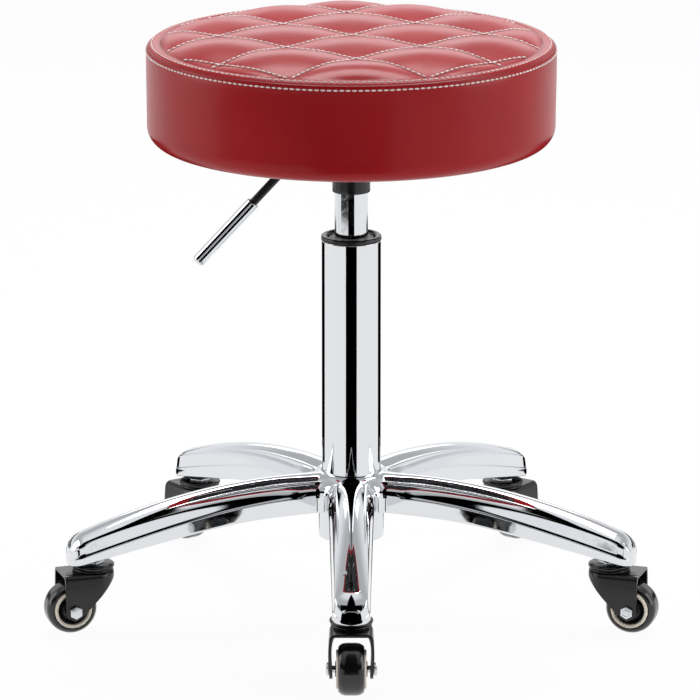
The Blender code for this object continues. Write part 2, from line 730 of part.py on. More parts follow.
def thrust_bearing():
    """A flat cage that carries its balls."""
    half = CAGE_THICKNESS / 2
    inner, outer = BALL_CIRCLE - CAGE_WIDTH / 2, BALL_CIRCLE + CAGE_WIDTH / 2
    cage = turned([
        (outer, BALL_HEIGHT + half), (outer, BALL_HEIGHT - half), (inner, BALL_HEIGHT - half),
        (inner, BALL_HEIGHT + half),
    ], SMALL)

    def balls(bm):
        for ball in range(BALL_COUNT):
            angle = tau * ball / BALL_COUNT
            place = Matrix.Translation((BALL_CIRCLE * cos(angle), BALL_CIRCLE * sin(angle), BALL_HEIGHT))
            bmesh.ops.create_icosphere(bm, subdivisions=1, radius=BALL_RADIUS, matrix=place)

    return combined("thrust_bearing", cage, ("UNION", mesh_of(balls, "balls")))


def bump_stop():
    top, bottom = CYLINDER_BOTTOM - GAP, UPPER_RACE_TOP + GAP
    inner, outer = ROD_RADIUS + GAP, BUMP_STOP_RADIUS
    return turned([
        (outer - BUMP_STOP_TAPER, top), (outer, top - 2 * BUMP_STOP_TAPER), (outer, bottom), (inner, bottom),
        (inner, top),
    ], SMALL, name="bump_stop")


# Five-star base

def arm_top(r):
    """Height of the arm's crown at distance r from the column."""
    arch = ARM_CROWN - max(0.0, r - ARM_LEVEL) ** 2 / (2 * ARM_ARCH_RADIUS)
    into_nose = max(0.0, r - (ARM_END - ARM_NOSE))
    return arch - (ARM_NOSE - sqrt(max(0.0, ARM_NOSE**2 - into_nose**2)))


def arm_bottom(r):
    past = r - ARM_UNDERSIDE_KNEE
    ramp = (past + hypot(past, ARM_UNDERSIDE_BLEND)) / 2
    return ARM_UNDERSIDE - ARM_UNDERSIDE_SLOPE * ramp


def arm_half_width(r):
    along = (r - ARM_LEVEL) / (ARM_END - ARM_LEVEL)
    width = ARM_HALF_WIDTH + (ARM_TIP_HALF_WIDTH - ARM_HALF_WIDTH) * max(along, 0.0)
    into_nose = max(0.0, r - (ARM_END - ARM_NOSE)) / ARM_NOSE
    beside_hub = max(0.0, (ARM_LEVEL - r) / (ARM_LEVEL - ARM_START))
    return width * (1 - 0.06 * beside_hub) * sqrt(1 - 0.55 * into_nose**2)


def arm_ring(r):
    """Section of an arm: a rounded crown, a sloping ledge that widens towards the tip, and an upright skirt."""
    top, bottom, half = arm_top(r), arm_bottom(r), arm_half_width(r)
    height = top - bottom
    along = min(1.0, max(0.0, (r - LEDGE_FULL) / (LEDGE_WIDEST - LEDGE_FULL)))
    ledge = min(1.0, max(0.0, (r - LEDGE_START) / (LEDGE_FULL - LEDGE_START)))
    crown_edge = 0.36 - 0.16 * along
    skirt_edge = 0.49 + 0.16 * along
    right = [
        (0.42 * half, top - 0.0010),
        ((0.74 + 0.12 * (1 - ledge)) * half, top - 0.42 * crown_edge * height),
        ((0.86 + 0.12 * (1 - ledge)) * half, top - crown_edge * height),
        ((0.96 + 0.04 * (1 - ledge)) * half, top - skirt_edge * height),
        (half, top - (skirt_edge + 0.05) * height),
        (half, bottom),
    ]
    outline = [(0.0, top)] + right + [(-across, z) for across, z in reversed(right)]
    return [Vector((r, across, z)) for across, z in outline]


def cavity_ring(r):
    half = arm_half_width(r) - ARM_WALL
    roof = arm_top(r) - ARM_WALL
    low = arm_bottom(r) - 0.006
    shoulder = roof - 0.35 * (roof - arm_bottom(r))
    outline = [(-half, low), (-half, shoulder), (-0.6 * half, roof), (0.6 * half, roof), (half, shoulder), (half, low)]
    return [Vector((r, across, z)) for across, z in outline]


def star(ring, stations):
    """One loft per arm through ring(r) at each station."""
    def lofts(bm):
        for arm in range(ARM_COUNT):
            around = Matrix.Rotation(arm_angle(arm), 4, "Z")
            loft(bm, [[around @ point for point in ring(r)] for r in stations])

    return mesh_of(lofts, "star")


def arm_angle(arm):
    """Direction of an arm, anticlockwise from +X. The first points along -Y."""
    return -pi / 2 + tau * arm / ARM_COUNT


def caster_places():
    return [
        (CASTER_RADIUS * cos(arm_angle(arm)), CASTER_RADIUS * sin(arm_angle(arm))) for arm in range(ARM_COUNT)
    ]


def five_star_base():
    nose_start = ARM_END - ARM_NOSE
    step = (nose_start - LEDGE_FULL) / ARCH_STEPS
    arch_stations = [ARM_START, LEDGE_START] + [LEDGE_FULL + step * i for i in range(ARCH_STEPS + 1)]
    nose_stations = [nose_start + ARM_NOSE * sin(radians(turn)) for turn in (38, 68)]
    arms = star(arm_ring, arch_stations + nose_stations)
    cavity_step = (CAVITY_END - CAVITY_START) / CAVITY_STEPS
    cavities = star(cavity_ring, [CAVITY_START + cavity_step * i for i in range(CAVITY_STEPS + 1)])
    edge = HUB_EDGE
    hub = turned([
        (0, HUB_TOP), (HUB_BOSS_RADIUS, HUB_TOP), (HUB_RADIUS - edge / 4, HUB_TOP - edge),
        (HUB_RADIUS, HUB_TOP - 2.5 * edge), (HUB_RADIUS, ARM_UNDERSIDE - edge),
        (HUB_BOSS_RADIUS, ARM_UNDERSIDE - 2.5 * edge), (HUB_BOSS_RADIUS, HUB_BOTTOM), (0, HUB_BOTTOM),
    ], ROUND, closed=False, name="hub")

    def bosses(bm):
        for place in caster_places():
            cylinder(bm, SOCKET_BOSS_RADIUS, SOCKET_FLOOR, SOCKET_FLOOR + SOCKET_BOSS_HEIGHT, 16, place)

    def sockets(bm):
        for place in caster_places():
            cylinder(bm, STEM_RADIUS + GAP, SOCKET_FLOOR - CUT_PAST, STEM_TOP + CUT_PAST, SMALL, place)

    bore = turned([
        (0, HUB_TOP + CUT_PAST), (TUBE_RADIUS + GAP, HUB_TOP + CUT_PAST), (TUBE_RADIUS + GAP, HUB_TOP),
        (TUBE_FOOT_RADIUS + GAP, TUBE_BOTTOM), (TUBE_FOOT_RADIUS + GAP, HUB_BOTTOM - CUT_PAST),
        (0, HUB_BOTTOM - CUT_PAST),
    ], ROUND, closed=False, name="bore")
    return combined(
        "five_star_base", hub, ("UNION", arms), ("DIFFERENCE", cavities), ("UNION", mesh_of(bosses, "bosses")),
        ("DIFFERENCE", bore), ("DIFFERENCE", mesh_of(sockets, "sockets")),
    )


# Casters. Each mesh is made in its caster's frame: the stem on Z and the wheel trailing towards +X.

FORK_BOTTOM = FORK_TOP - FORK_CROWN
PLATE_FACE = FORK_WIDTH / 2


def caster_stem():
    """Grip stem, hexagon, upper raceway flange and riveted king pin, in one piece."""
    head_top = FORK_BOTTOM - GAP
    head_bottom = head_top - KING_PIN_HEAD_HEIGHT
    edge = FLANGE_EDGE
    body = turned([
        (0, STEM_TOP), (STEM_RADIUS - STEM_EDGE, STEM_TOP), (STEM_RADIUS, STEM_TOP - STEM_EDGE),
        (STEM_RADIUS, FLANGE_TOP),
        (FLANGE_RADIUS - edge, FLANGE_TOP), (FLANGE_RADIUS, FLANGE_TOP - edge), (FLANGE_RADIUS, FLANGE_BOTTOM + edge),
        (FLANGE_RADIUS - edge, FLANGE_BOTTOM), (RACE_RADIUS, FLANGE_BOTTOM), (RACE_RADIUS, FORK_TOP + GAP),
        (KING_PIN_RADIUS, FORK_TOP + GAP), (KING_PIN_RADIUS, head_top), (KING_PIN_HEAD_RADIUS, head_top),
        (KING_PIN_RADIUS, head_bottom), (0, head_bottom),
    ], SMALL, closed=False, name="caster_stem")

    def nut(bm):
        hexagon(bm, STEM_HEX_ACROSS, FLANGE_TOP - edge, SOCKET_FLOOR - GAP)

    return combined("caster_stem", body, ("UNION", mesh_of(nut, "nut")))


def caster_fork():
    """Pressed steel fork: a crown on two cheeks that narrow to the axle."""
    start = Vector((-FORK_BACK, FORK_SHOULDER))
    axle = Vector((TRAIL, WHEEL_RADIUS))
    reach = axle - start
    tangent = atan2(reach.y, reach.x) - asin(FORK_END_RADIUS / reach.length)
    first, last = tangent - pi / 2, 0.0
    steps = 5
    outline = [(-FORK_BACK, FORK_TOP), tuple(start)]
    for step in range(steps + 1):
        angle = first + (last - first) * step / steps
        outline.append((axle.x + FORK_END_RADIUS * cos(angle), axle.y + FORK_END_RADIUS * sin(angle)))
    outline.append((axle.x + FORK_END_RADIUS, FORK_TOP))

    def cheeks(bm):
        rings = [[Vector((x, side * PLATE_FACE, z)) for x, z in outline] for side in (-1, 1)]
        loft(bm, rings)
        crown = [edge for edge in bm.edges if is_crown_edge(edge)]
        bmesh.ops.bevel(bm, geom=crown, offset=FORK_EDGE, segments=2, profile=0.5, affect="EDGES", material=-1)

    def is_crown_edge(edge):
        a, b = edge.verts[0].co, edge.verts[1].co
        along_top = min(a.z, b.z) > FORK_TOP - WELD and abs(a.y - b.y) < WELD
        upright_back = max(a.x, b.x) < -FORK_BACK + WELD and abs(a.y - b.y) < WELD
        return along_top or upright_back

    def throat(bm):
        inner = FORK_INNER / 2
        box(bm, (-2 * FORK_BACK, -inner, 0), (2 * TRAIL, inner, FORK_BOTTOM))
        top_edges = [edge for edge in bm.edges if min(v.co.z for v in edge.verts) > FORK_BOTTOM - WELD]
        long_ones = [edge for edge in top_edges if abs(edge.verts[0].co.y - edge.verts[1].co.y) < WELD]
        bmesh.ops.bevel(bm, geom=long_ones, offset=FORK_FILLET, segments=1, profile=0.5, affect="EDGES", material=-1)

    def holes(bm):
        cylinder(bm, AXLE_RADIUS + GAP, -PLATE_FACE - CUT_PAST, PLATE_FACE + CUT_PAST, SMALL)
        bmesh.ops.transform(bm, verts=bm.verts, matrix=along_y(TRAIL, WHEEL_RADIUS))

    def pin_hole(bm):
        cylinder(bm, KING_PIN_RADIUS + GAP, FORK_BOTTOM - CUT_PAST, FORK_TOP + CUT_PAST, SMALL)

    cuts = [("DIFFERENCE", mesh_of(cut, "cut")) for cut in (throat, holes, pin_hole)]
    return combined("caster_fork", mesh_of(cheeks, "cheeks"), *cuts)


def axle_bolt():
    """The bolt lies along Z here and is turned onto the wheel's axis when it is placed."""
    def head(bm):
        hexagon(bm, AXLE_HEAD_ACROSS, PLATE_FACE + GAP, AXLE_OUT)

    def shaft(bm):
        cylinder(bm, AXLE_RADIUS, -AXLE_OUT, PLATE_FACE + CUT_PAST, 8)

    return combined("axle_bolt", mesh_of(head, "head"), ("UNION", mesh_of(shaft, "shaft")))


def axle_nut():
    low, high = AXLE_TIP - AXLE_OUT, -PLATE_FACE - GAP

    def body(bm):
        hexagon(bm, AXLE_HEAD_ACROSS, low, high)

    def thread(bm):
        cylinder(bm, AXLE_RADIUS + GAP, low - CUT_PAST, high + CUT_PAST, 8)

    return combined("axle_nut", mesh_of(body, "body"), ("DIFFERENCE", mesh_of(thread, "thread")))


def caster_tyre():
    """The tread has a flat facet, not a corner, where it stands on the floor."""
    rim = CORE_RADIUS + GAP
    half = TYRE_WIDTH / 2
    tread = WHEEL_RADIUS / cos(pi / TYRE_SEGMENTS)
    drop = TYRE_SHOULDER * (1 - cos(pi / 4))
    mesh = turned([
        (rim, half), (tread - TYRE_SHOULDER, half), (tread - drop, half - drop), (tread, half - TYRE_SHOULDER),
        (tread, TYRE_SHOULDER - half), (tread - drop, drop - half), (tread - TYRE_SHOULDER, -half), (rim, -half),
    ], TYRE_SEGMENTS, name="caster_tyre")
    mesh.transform(Matrix.Rotation(pi / TYRE_SEGMENTS, 4, "Z"))
    return mesh


def wheel_core():
    lip, web, boss = CORE_WIDTH / 2, CORE_WEB / 2, HUB_CORE_WIDTH / 2
    inner_lip = CORE_RADIUS - CORE_LIP
    bore = AXLE_RADIUS + GAP
    return turned([
        (inner_lip, lip), (CORE_RADIUS, lip), (CORE_RADIUS, -lip), (inner_lip, -lip), (inner_lip, -web),
        (HUB_CORE_RADIUS, -web), (HUB_CORE_RADIUS, -boss), (bore, -boss), (bore, boss), (HUB_CORE_RADIUS, boss),
        (HUB_CORE_RADIUS, web), (inner_lip, web),
    ], 16, name="wheel_core")


# The assembly

clear_scene()
parts = new_collection("rolling_stylist_stool")
cutters = new_collection("cutters")

column = empty("column_axis", location=(0, COLUMN_Y, 0))
seat_turn = empty("seat_turn", column)
seat_lift = empty("seat_lift", seat_turn)
lever_pivot = empty("lever_pivot", seat_lift, (PIVOT_X, 0, PIVOT_Z))
valve_travel = empty("valve_travel", seat_lift)

FIXED_PIECES = [
    ("five_star_base", five_star_base, CHROME),
    ("outer_tube", outer_tube, CHROME),
    ("ring_cap", ring_cap, BLACK_PLASTIC),
    ("guide_bush", guide_bush, PALE_NYLON),
    ("lower_race", lambda: race(TUBE_FLOOR_TOP + GAP, 0.0055, "lower_race"), BEARING_STEEL),
]
TURNING_PIECES = [
    ("piston_rod", piston_rod, ZINC_STEEL),
    ("piston", piston, ALUMINIUM),
    ("piston_seal", piston_seal, RUBBER),
    ("upper_race", lambda: race(UPPER_RACE_BOTTOM, ROD_NECK_RADIUS + GAP, "upper_race"), BEARING_STEEL),
    ("thrust_bearing", thrust_bearing, BEARING_STEEL),
    ("bump_stop", bump_stop, RUBBER),
    ("rod_clip", rod_clip, ZINC_STEEL),
]
SEAT_PIECES = [
    ("seat_cover", seat_cover, RED_LEATHER),
    ("seat_foam", seat_foam, FOAM),
    ("seat_board", seat_board, PLYWOOD),
    ("dust_cover", dust_cover, BLACK_CLOTH),
    ("seat_plate", seat_plate, BLACK_STEEL),
    ("lever_channel", lever_channel, BLACK_STEEL),
    ("socket_tube", socket_tube, BLACK_STEEL),
    ("lever_pin", lever_pin, ZINC_STEEL),
    ("pressure_tube", pressure_tube, CHROME),
    ("valve_block", valve_block, ALUMINIUM),
    ("rod_guide", rod_guide, BLACK_PLASTIC),
]
for pieces, carrier in ((FIXED_PIECES, column), (TURNING_PIECES, seat_turn), (SEAT_PIECES, seat_lift)):
    for name, build, finish in pieces:
        place = along_y(PIVOT_X, PIVOT_Z) if name == "lever_pin" else None
        show(name, build(), finish, carrier, place)

show("lever_rod", lever_rod(), BLACK_STEEL, lever_pivot)
show("lever_handle", lever_handle(), CHROME, lever_pivot)
show("valve_button", valve_button(), BLACK_PLASTIC, valve_travel)

SCREW = seat_screw()
for number, place in enumerate(corners_of_plate(), start=1):
    show(f"seat_screw_{number}", SCREW, ZINC_STEEL, seat_lift, Matrix.Translation((*place, 0)))

ON_FORK = along_y(TRAIL, WHEEL_RADIUS)
ON_AXLE = along_y(0, 0)
STEM = caster_stem()
FORK_PIECES = [
    ("caster_fork", caster_fork(), BLACK_STEEL, None),
    ("axle_bolt", axle_bolt(), ZINC_STEEL, ON_FORK),
    ("axle_nut", axle_nut(), ZINC_STEEL, ON_FORK),
]
WHEEL_PIECES = [
    ("caster_tyre", caster_tyre(), BLACK_TYRE, ON_AXLE),
    ("wheel_core", wheel_core(), CREAM_NYLON, ON_AXLE),
]

for number, (x, y) in enumerate(caster_places(), start=1):
    stem_axis = empty(f"caster_swivel_{number}", column, (x, y, 0), arm_angle(number - 1))
    wheel_axis = empty(f"wheel_axle_{number}", stem_axis, (TRAIL, 0, WHEEL_RADIUS))
    show(f"caster_stem_{number}", STEM, BLACK_STEEL, stem_axis)
    for name, mesh, finish, place in FORK_PIECES:
        show(f"{name}_{number}", mesh, finish, stem_axis, place)
    for name, mesh, finish, place in WHEEL_PIECES:
        show(f"{name}_{number}", mesh, finish, wheel_axis, place)
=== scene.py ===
import json
from math import atan2, cos, hypot, pi, radians, sin, sqrt, tan, tau

import bmesh
import bpy
from mathutils import Matrix, Vector, noise


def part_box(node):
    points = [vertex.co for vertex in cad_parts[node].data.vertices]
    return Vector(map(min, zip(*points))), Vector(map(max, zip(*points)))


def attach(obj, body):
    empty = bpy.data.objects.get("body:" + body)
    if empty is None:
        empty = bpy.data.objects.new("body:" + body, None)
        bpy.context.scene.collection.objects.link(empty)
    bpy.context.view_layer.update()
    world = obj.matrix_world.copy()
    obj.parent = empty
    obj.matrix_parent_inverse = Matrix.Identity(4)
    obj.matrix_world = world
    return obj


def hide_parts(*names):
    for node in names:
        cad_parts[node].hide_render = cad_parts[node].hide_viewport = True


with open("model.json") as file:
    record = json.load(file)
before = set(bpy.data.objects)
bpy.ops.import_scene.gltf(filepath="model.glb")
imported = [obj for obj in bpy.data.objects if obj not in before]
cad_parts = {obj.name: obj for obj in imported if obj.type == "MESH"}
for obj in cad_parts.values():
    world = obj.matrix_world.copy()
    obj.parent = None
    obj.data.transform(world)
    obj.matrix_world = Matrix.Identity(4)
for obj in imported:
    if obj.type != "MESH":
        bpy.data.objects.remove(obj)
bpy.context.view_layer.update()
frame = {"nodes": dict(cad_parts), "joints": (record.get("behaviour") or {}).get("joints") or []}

bl_info = {
    "name": "Rolling stylist stool",
    "version": (1, 0, 0),
    "blender": (4, 5, 0),
    "location": "3D View > Sidebar > Stool",
    "description": "Builds the visible pieces of a quilted gas lift stool over its CAD frame",
    "category": "Object",
}

TUBE_LOW, TUBE_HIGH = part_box("outer_tube")
COLUMN = Vector(((TUBE_LOW.x + TUBE_HIGH.x) / 2, (TUBE_LOW.y + TUBE_HIGH.y) / 2, 0.0))
ARMS = range(1, 6)
HALF_SECTOR = pi / 5


# Small sums

def linear(code):
    """Linear colour of an sRGB hex code."""
    channels = [int(code[i:i + 2], 16) / 255 for i in (1, 3, 5)]
    return [c / 12.92 if c <= 0.04045 else ((c + 0.055) / 1.055) ** 2.4 for c in channels]


def rgba(colour):
    return (*colour, 1.0)


def between(a, b, share):
    return a + (b - a) * share


def joint_place(name):
    return Vector(next(j for j in frame["joints"] if j["name"] == name)["pos_m"])


def ramp(value, start, end):
    """0 before start, 1 after end, and smooth between them."""
    share = min(1.0, max(0.0, (value - start) / (end - start)))
    return share * share * (3 - 2 * share)


# Settings that a user would change

def length(name, description, default):
    return bpy.props.FloatProperty(
        name=name, description=description, default=default, unit="LENGTH", precision=4
    )


def colour(name, description, code):
    return bpy.props.FloatVectorProperty(
        name=name, description=description, default=linear(code), subtype="COLOR", min=0.0, max=1.0
    )


class SeatSettings(bpy.types.PropertyGroup):
    radius: length("Radius", "Radius of the upright side of the seat", 0.1708)
    bottom: length("Underside", "Height of the seat's underside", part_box("seat_cover")[0].z)
    panel_radius: length("Quilted radius", "Radius of the quilted part of the top panel", 0.160)
    crossing_height: length("Crossing height", "Height of the leather where two seams cross", 0.4945)
    diamond_width: length("Diamond width", "Width of a quilted diamond across the seat", 0.111)
    diamond_depth: length("Diamond depth", "Depth of a quilted diamond from front to back", 0.100)
    quilt_turn: bpy.props.FloatProperty(
        name="Quilt turn", description="How far the quilting is turned, anticlockwise", default=radians(2.3),
        unit="ROTATION",
    )
    puff: length("Puff", "Height of a diamond's middle over its seams", 0.0026)
    seam_rise: length("Seam rise", "How much higher the leather is half way between two crossings", 0.0030)
    leather: colour("Leather", "Colour of the upholstery leather", "#A30612")
    thread: colour("Thread", "Colour of the sewing thread", "#FBE9E6")
    lining: colour("Lining", "Colour of the cloth under the seat", "#1B1B1D")


class LiftSettings(bpy.types.PropertyGroup):
    chrome: colour("Chrome", "Colour of the chrome plating", "#E1E3E6")
    black: colour("Black", "Colour of the black plastic and enamel", "#0C0C0E")
    steps: bpy.props.IntProperty(name="Steps", description="Steps round a turned piece", default=96, min=24)


class BaseSettings(bpy.types.PropertyGroup):
    crown: length("Crown height", "Height of an arm's crown beside the hub", 0.1195)
    reach: length("Reach", "Distance from the column to the end of an arm", 0.250)
    nose: length("Nose", "Length of an arm's rounded end", 0.012)
    wall: length("Wall", "Thickness of the casting", 0.0042)
    web_radius: length("Web radius", "Distance from the column to the corner between two arms", 0.0385)


class CasterSettings(bpy.types.PropertyGroup):
    tyre: colour("Tyre", "Colour of the polyurethane tread", "#111113")
    ring: colour("Ring", "Colour of the nylon ring in the wheel", "#FFF5E6")
    zinc: colour("Zinc", "Colour of the zinc plated fasteners", "#D9DCE0")
    sheet: length("Sheet", "Thickness of the pressed steel fork", 0.0026)


class StageSettings(bpy.types.PropertyGroup):
    distance: length("Camera distance", "Distance of the camera in front of the column", 4.400)
    height: length("Camera height", "Height of the camera", 1.3619)
    aim: length("Aim", "Height on the column that the camera looks at", 0.224)
    focal: bpy.props.FloatProperty(
        name="Focal length", description="Focal length on a 36 mm sensor, in millimetres", default=276.77
    )
    floor: colour("Floor", "Colour of the floor", "#F2F2F0")


# Making meshes

def piece(name, mesh, material, body, replaces=(), slot=None, sharp=38):
    """Shows a mesh as a named piece of the stool that moves with a CAD body."""
    made = bpy.data.objects.new(name, mesh)
    bpy.context.scene.collection.objects.link(made)
    mesh.materials.append(material)
    mesh.shade_smooth()
    mesh.set_sharp_from_angle(angle=radians(sharp))
    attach(made, body)
    if replaces:
        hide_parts(*replaces)
    return made


def mesh_from(bm, name, place=None):
    """Ends a bmesh as a mesh with its doubles merged and its faces turned outward."""
    bmesh.ops.remove_doubles(bm, verts=bm.verts, dist=0.000002)
    bmesh.ops.recalc_face_normals(bm, faces=bm.faces)
    mesh = bpy.data.meshes.new(name)
    bm.to_mesh(mesh)
    bm.free()
    if place is not None:
        mesh.transform(place)
    return mesh


def copy_at(mesh, name, place):
    made = mesh.copy()
    made.name = name
    made.transform(place)
    return made


def rounded(points, closed, samples=4):
    """A polyline of (x, y, setback), with an arc in place of each corner that has a setback.

    A point beside each end of an arc keeps its shading from running on along the straight.
    """
    out = []
    count = len(points)
    for i, point in enumerate(points):
        here = Vector(point[:2])
        setback = point[2] if len(point) > 2 else 0.0
        if not setback or (not closed and i in (0, count - 1)):
            out.append(here)
            continue
        before = Vector(points[i - 1][:2]) - here
        after = Vector(points[(i + 1) % count][:2]) - here
        start, end = (way.normalized() * min(setback, way.length * 0.49) for way in (before, after))
        first, last = (
            way.normalized() * min(setback, max(0.0, way.length - 2 * setback) * 0.2)
            for way in (before, after)
        )
        out.append(here + start + first)
        for step in range(samples + 1):
            t = step / samples
            out.append(here + (1 - t) ** 2 * start + t * t * end)
        out.append(here + end + last)
    return out


def spin(bm, profile, closed=True, steps=96, samples=4):
    """Turns a profile of (radius, height, setback) about Z. An open profile starts and ends on the axis."""
    line = [bm.verts.new((p.x, 0.0, p.y)) for p in rounded(profile, closed, samples)]
    pairs = list(zip(line, line[1:]))
    if closed:
        pairs.append((line[-1], line[0]))
    edges = [bm.edges.new(pair) for pair in pairs]
    bmesh.ops.spin(
        bm, geom=line + edges, cent=(0, 0, 0), axis=(0, 0, 1), dvec=(0, 0, 0), angle=tau, steps=steps,
        use_merge=True,
    )
    bmesh.ops.remove_doubles(bm, verts=bm.verts, dist=0.000002)


def mirrored(half):
    """A closed profile from its upper half."""
    return half + [(radius, -height, setback) for radius, height, setback in reversed(half)]


def turned(name, profile, closed=True, steps=96, place=None, samples=4):
    bm = bmesh.new()
    spin(bm, profile, closed, steps, samples)
    return mesh_from(bm, name, place)


def soften(bm, edges, offset, segments):
    bmesh.ops.bevel(
        bm, geom=list(edges), offset=offset, segments=segments, profile=0.5, affect="EDGES", material=-1
    )


def prism(bm, across, low, high, edge, sides=6, middle=(0.0, 0.0)):
    """A regular prism with softened edges, such as a nut or a bolt's head."""
    radius = across / 2 / cos(pi / sides)
    made = bmesh.ops.create_cone(
        bm, cap_ends=True, segments=sides, radius1=radius, radius2=radius, depth=high - low,
        matrix=Matrix.Translation((*middle, (low + high) / 2)),
    )
    soften(bm, {e for v in made["verts"] for e in v.link_edges}, edge, 2)


def block(bm, low, high, edge):
    """A box with softened edges."""
    size = Vector(high) - Vector(low)
    middle = (Vector(high) + Vector(low)) / 2
    place = Matrix.Translation(middle) @ Matrix.Diagonal((*size, 1.0))
    made = bmesh.ops.create_cube(bm, size=1.0, matrix=place)
    soften(bm, {e for v in made["verts"] for e in v.link_edges}, edge, 3)


def sweep(bm, route, radius, segments=24):
    """A round bar along a route, made by extruding a disc from point to point."""
    def frame_at(i):
        before = route[max(i - 1, 0)]
        after = route[min(i + 1, len(route) - 1)]
        along = (after - before).normalized()
        side = Vector((0, 1, 0))
        return Matrix.Translation(route[i]) @ Matrix((side.cross(along), side, along)).transposed().to_4x4()

    made = bmesh.ops.create_circle(bm, cap_ends=True, segments=segments, radius=radius, matrix=frame_at(0))
    face = next(iter(made["verts"][0].link_faces))
    for i in range(1, len(route)):
        made = bmesh.ops.extrude_face_region(bm, geom=[face])
        ring = [v for v in made["geom"] if isinstance(v, bmesh.types.BMVert)]
        if i > 1:
            bmesh.ops.delete(bm, geom=[face], context="FACES_ONLY")
        face = next(f for f in made["geom"] if isinstance(f, bmesh.types.BMFace))
        bmesh.ops.transform(bm, verts=ring, matrix=frame_at(i) @ frame_at(i - 1).inverted())


def grid_skin(bm, stations, sections, place):
    """A grid of stations by sections vertices, bent to place(station, section)."""
    made = bmesh.ops.create_grid(bm, x_segments=stations - 1, y_segments=sections - 1, size=1.0)
    columns = sorted({round(v.co.x, 5) for v in made["verts"]})
    rows = sorted({round(v.co.y, 5) for v in made["verts"]})
    if (len(columns), len(rows)) != (stations, sections):
        raise RuntimeError(f"grid of {len(columns)} by {len(rows)} vertices, not {stations} by {sections}")
    at_column = {x: i for i, x in enumerate(columns)}
    at_row = {y: i for i, y in enumerate(rows)}
    for v in made["verts"]:
        v.co = place(at_column[round(v.co.x, 5)], at_row[round(v.co.y, 5)])


# Materials

def add_node(tree, kind, inputs=None, **settings):
    """Adds a shader node with its settings. An input is a value, or the output of another node to link."""
    made = tree.nodes.new("ShaderNode" + kind)
    for key, value in settings.items():
        setattr(made, key, value)
    for key, value in (inputs or {}).items():
        if isinstance(value, bpy.types.NodeSocket):
            tree.links.new(value, made.inputs[key])
        else:
            made.inputs[key].default_value = value
    return made


def new_material(name, **values):
    """A material with one Principled shader, whose uniform values stand on its own sockets."""
    made = bpy.data.materials.new(name)
    made.use_nodes = True
    tree = made.node_tree
    shader = tree.nodes["Principled BSDF"]
    for key, value in values.items():
        shader.inputs[key.replace("_", " ")].default_value = value
    made.diffuse_color = shader.inputs["Base Color"].default_value
    where = add_node(tree, "TexCoord").outputs["Object"]
    return made, tree, shader, where


def noise_at(tree, where, size, detail):
    """A noise texture's value, with features of this size in metres."""
    return add_node(tree, "TexNoise", {"Vector": where, "Scale": 1 / size, "Detail": detail}).outputs["Fac"]


def remap(tree, value, source, target, **settings):
    """A value taken from one (low, high) range to another."""
    span = dict(zip(("From Min", "From Max", "To Min", "To Max"), (*source, *target)))
    return add_node(tree, "MapRange", {"Value": value, **span}, **settings).outputs["Result"]


def colour_ramp(tree, value, *pairs):
    """The colour of a value between two stops of (position, linear colour)."""
    node = add_node(tree, "ValToRGB", {"Fac": value})
    for element, (position, tone) in zip(node.color_ramp.elements, pairs):
        element.position = position
        element.color = rgba(tone)
    return node.outputs["Color"]


def shade(value, factor):
    return [c * factor for c in value]


def connect(tree, shader, tone=None, gloss=None, bumps=()):
    """Links colour, roughness and bumps into a shader. A bump is (height, strength, metres)."""
    if tone:
        tree.links.new(tone, shader.inputs["Base Color"])
    if gloss:
        tree.links.new(gloss, shader.inputs["Roughness"])
    normal = None
    for height, strength, depth in bumps:
        inputs = {"Height": height, "Strength": strength, "Distance": depth}
        if normal:
            inputs["Normal"] = normal
        normal = add_node(tree, "Bump", inputs).outputs["Normal"]
    tree.links.new(normal, shader.inputs["Normal"])


def upholstery_leather(leather):
    """Polyurethane coated knit, embossed: a soft gloss over a fine pebble grain, with painted shade down in
    the seams.
    """
    made, tree, shader, where = new_material(
        "polyurethane leather, embossed and semi-gloss", Base_Color=rgba(leather), Roughness=0.30, IOR=1.40,
        Specular_IOR_Level=0.32, Coat_Weight=0.06, Coat_Roughness=0.12,
    )
    # Painted shade: this mask darkens the leather towards 0.62 of its colour down in the quilting and edge
    # seams
    crease = add_node(tree, "Attribute", attribute_name="crease").outputs["Fac"]
    # Patches of slightly different depth of colour, 60 mm across
    patches = noise_at(tree, where, 0.060, 3.0)
    body = colour_ramp(tree, patches, (0.05, shade(leather, 0.84)), (0.95, shade(leather, 1.10)))
    seam_shade_mix = {"Factor": crease, "A": body, "B": rgba(shade(leather, 0.62))}
    tone = add_node(tree, "Mix", seam_shade_mix, data_type="RGBA").outputs["Result"]
    # Pebbles of the embossing: 0.7 mm on the real film, drawn 1.3 mm wide so that they show at all
    pebbles = add_node(tree, "TexVoronoi", {"Vector": where, "Scale": 1 / 0.0013}).outputs["Distance"]
    pores = noise_at(tree, where, 0.0006, 2.0)
    gloss = remap(tree, patches, (0.05, 0.95), (0.25, 0.36))
    connect(tree, shader, tone, gloss, ((pebbles, 0.06, 0.00012), (pores, 0.06, 0.00010)))
    return made


def sewing_thread(thread):
    """Bonded polyester thread, twisted: satin, and light passes a little way through it."""
    made, tree, shader, where = new_material(
        "bonded polyester thread, twisted", Base_Color=rgba(thread), Roughness=0.42, Sheen_Weight=0.15,
        Subsurface_Weight=0.8, Subsurface_Scale=0.0012, Subsurface_Radius=(1.0, 1.0, 1.0),
    )
    # Plies 0.35 mm apart
    twist = {"Vector": where, "Scale": 1 / 0.00035 / tau, "Distortion": 1.0}
    plies = add_node(tree, "TexWave", twist, bands_direction="DIAGONAL").outputs["Fac"]
    tone = colour_ramp(tree, plies, (0.2, shade(thread, 0.86)), (0.8, thread))
    connect(tree, shader, tone, bumps=((plies, 0.3, 0.0001),))
    return made


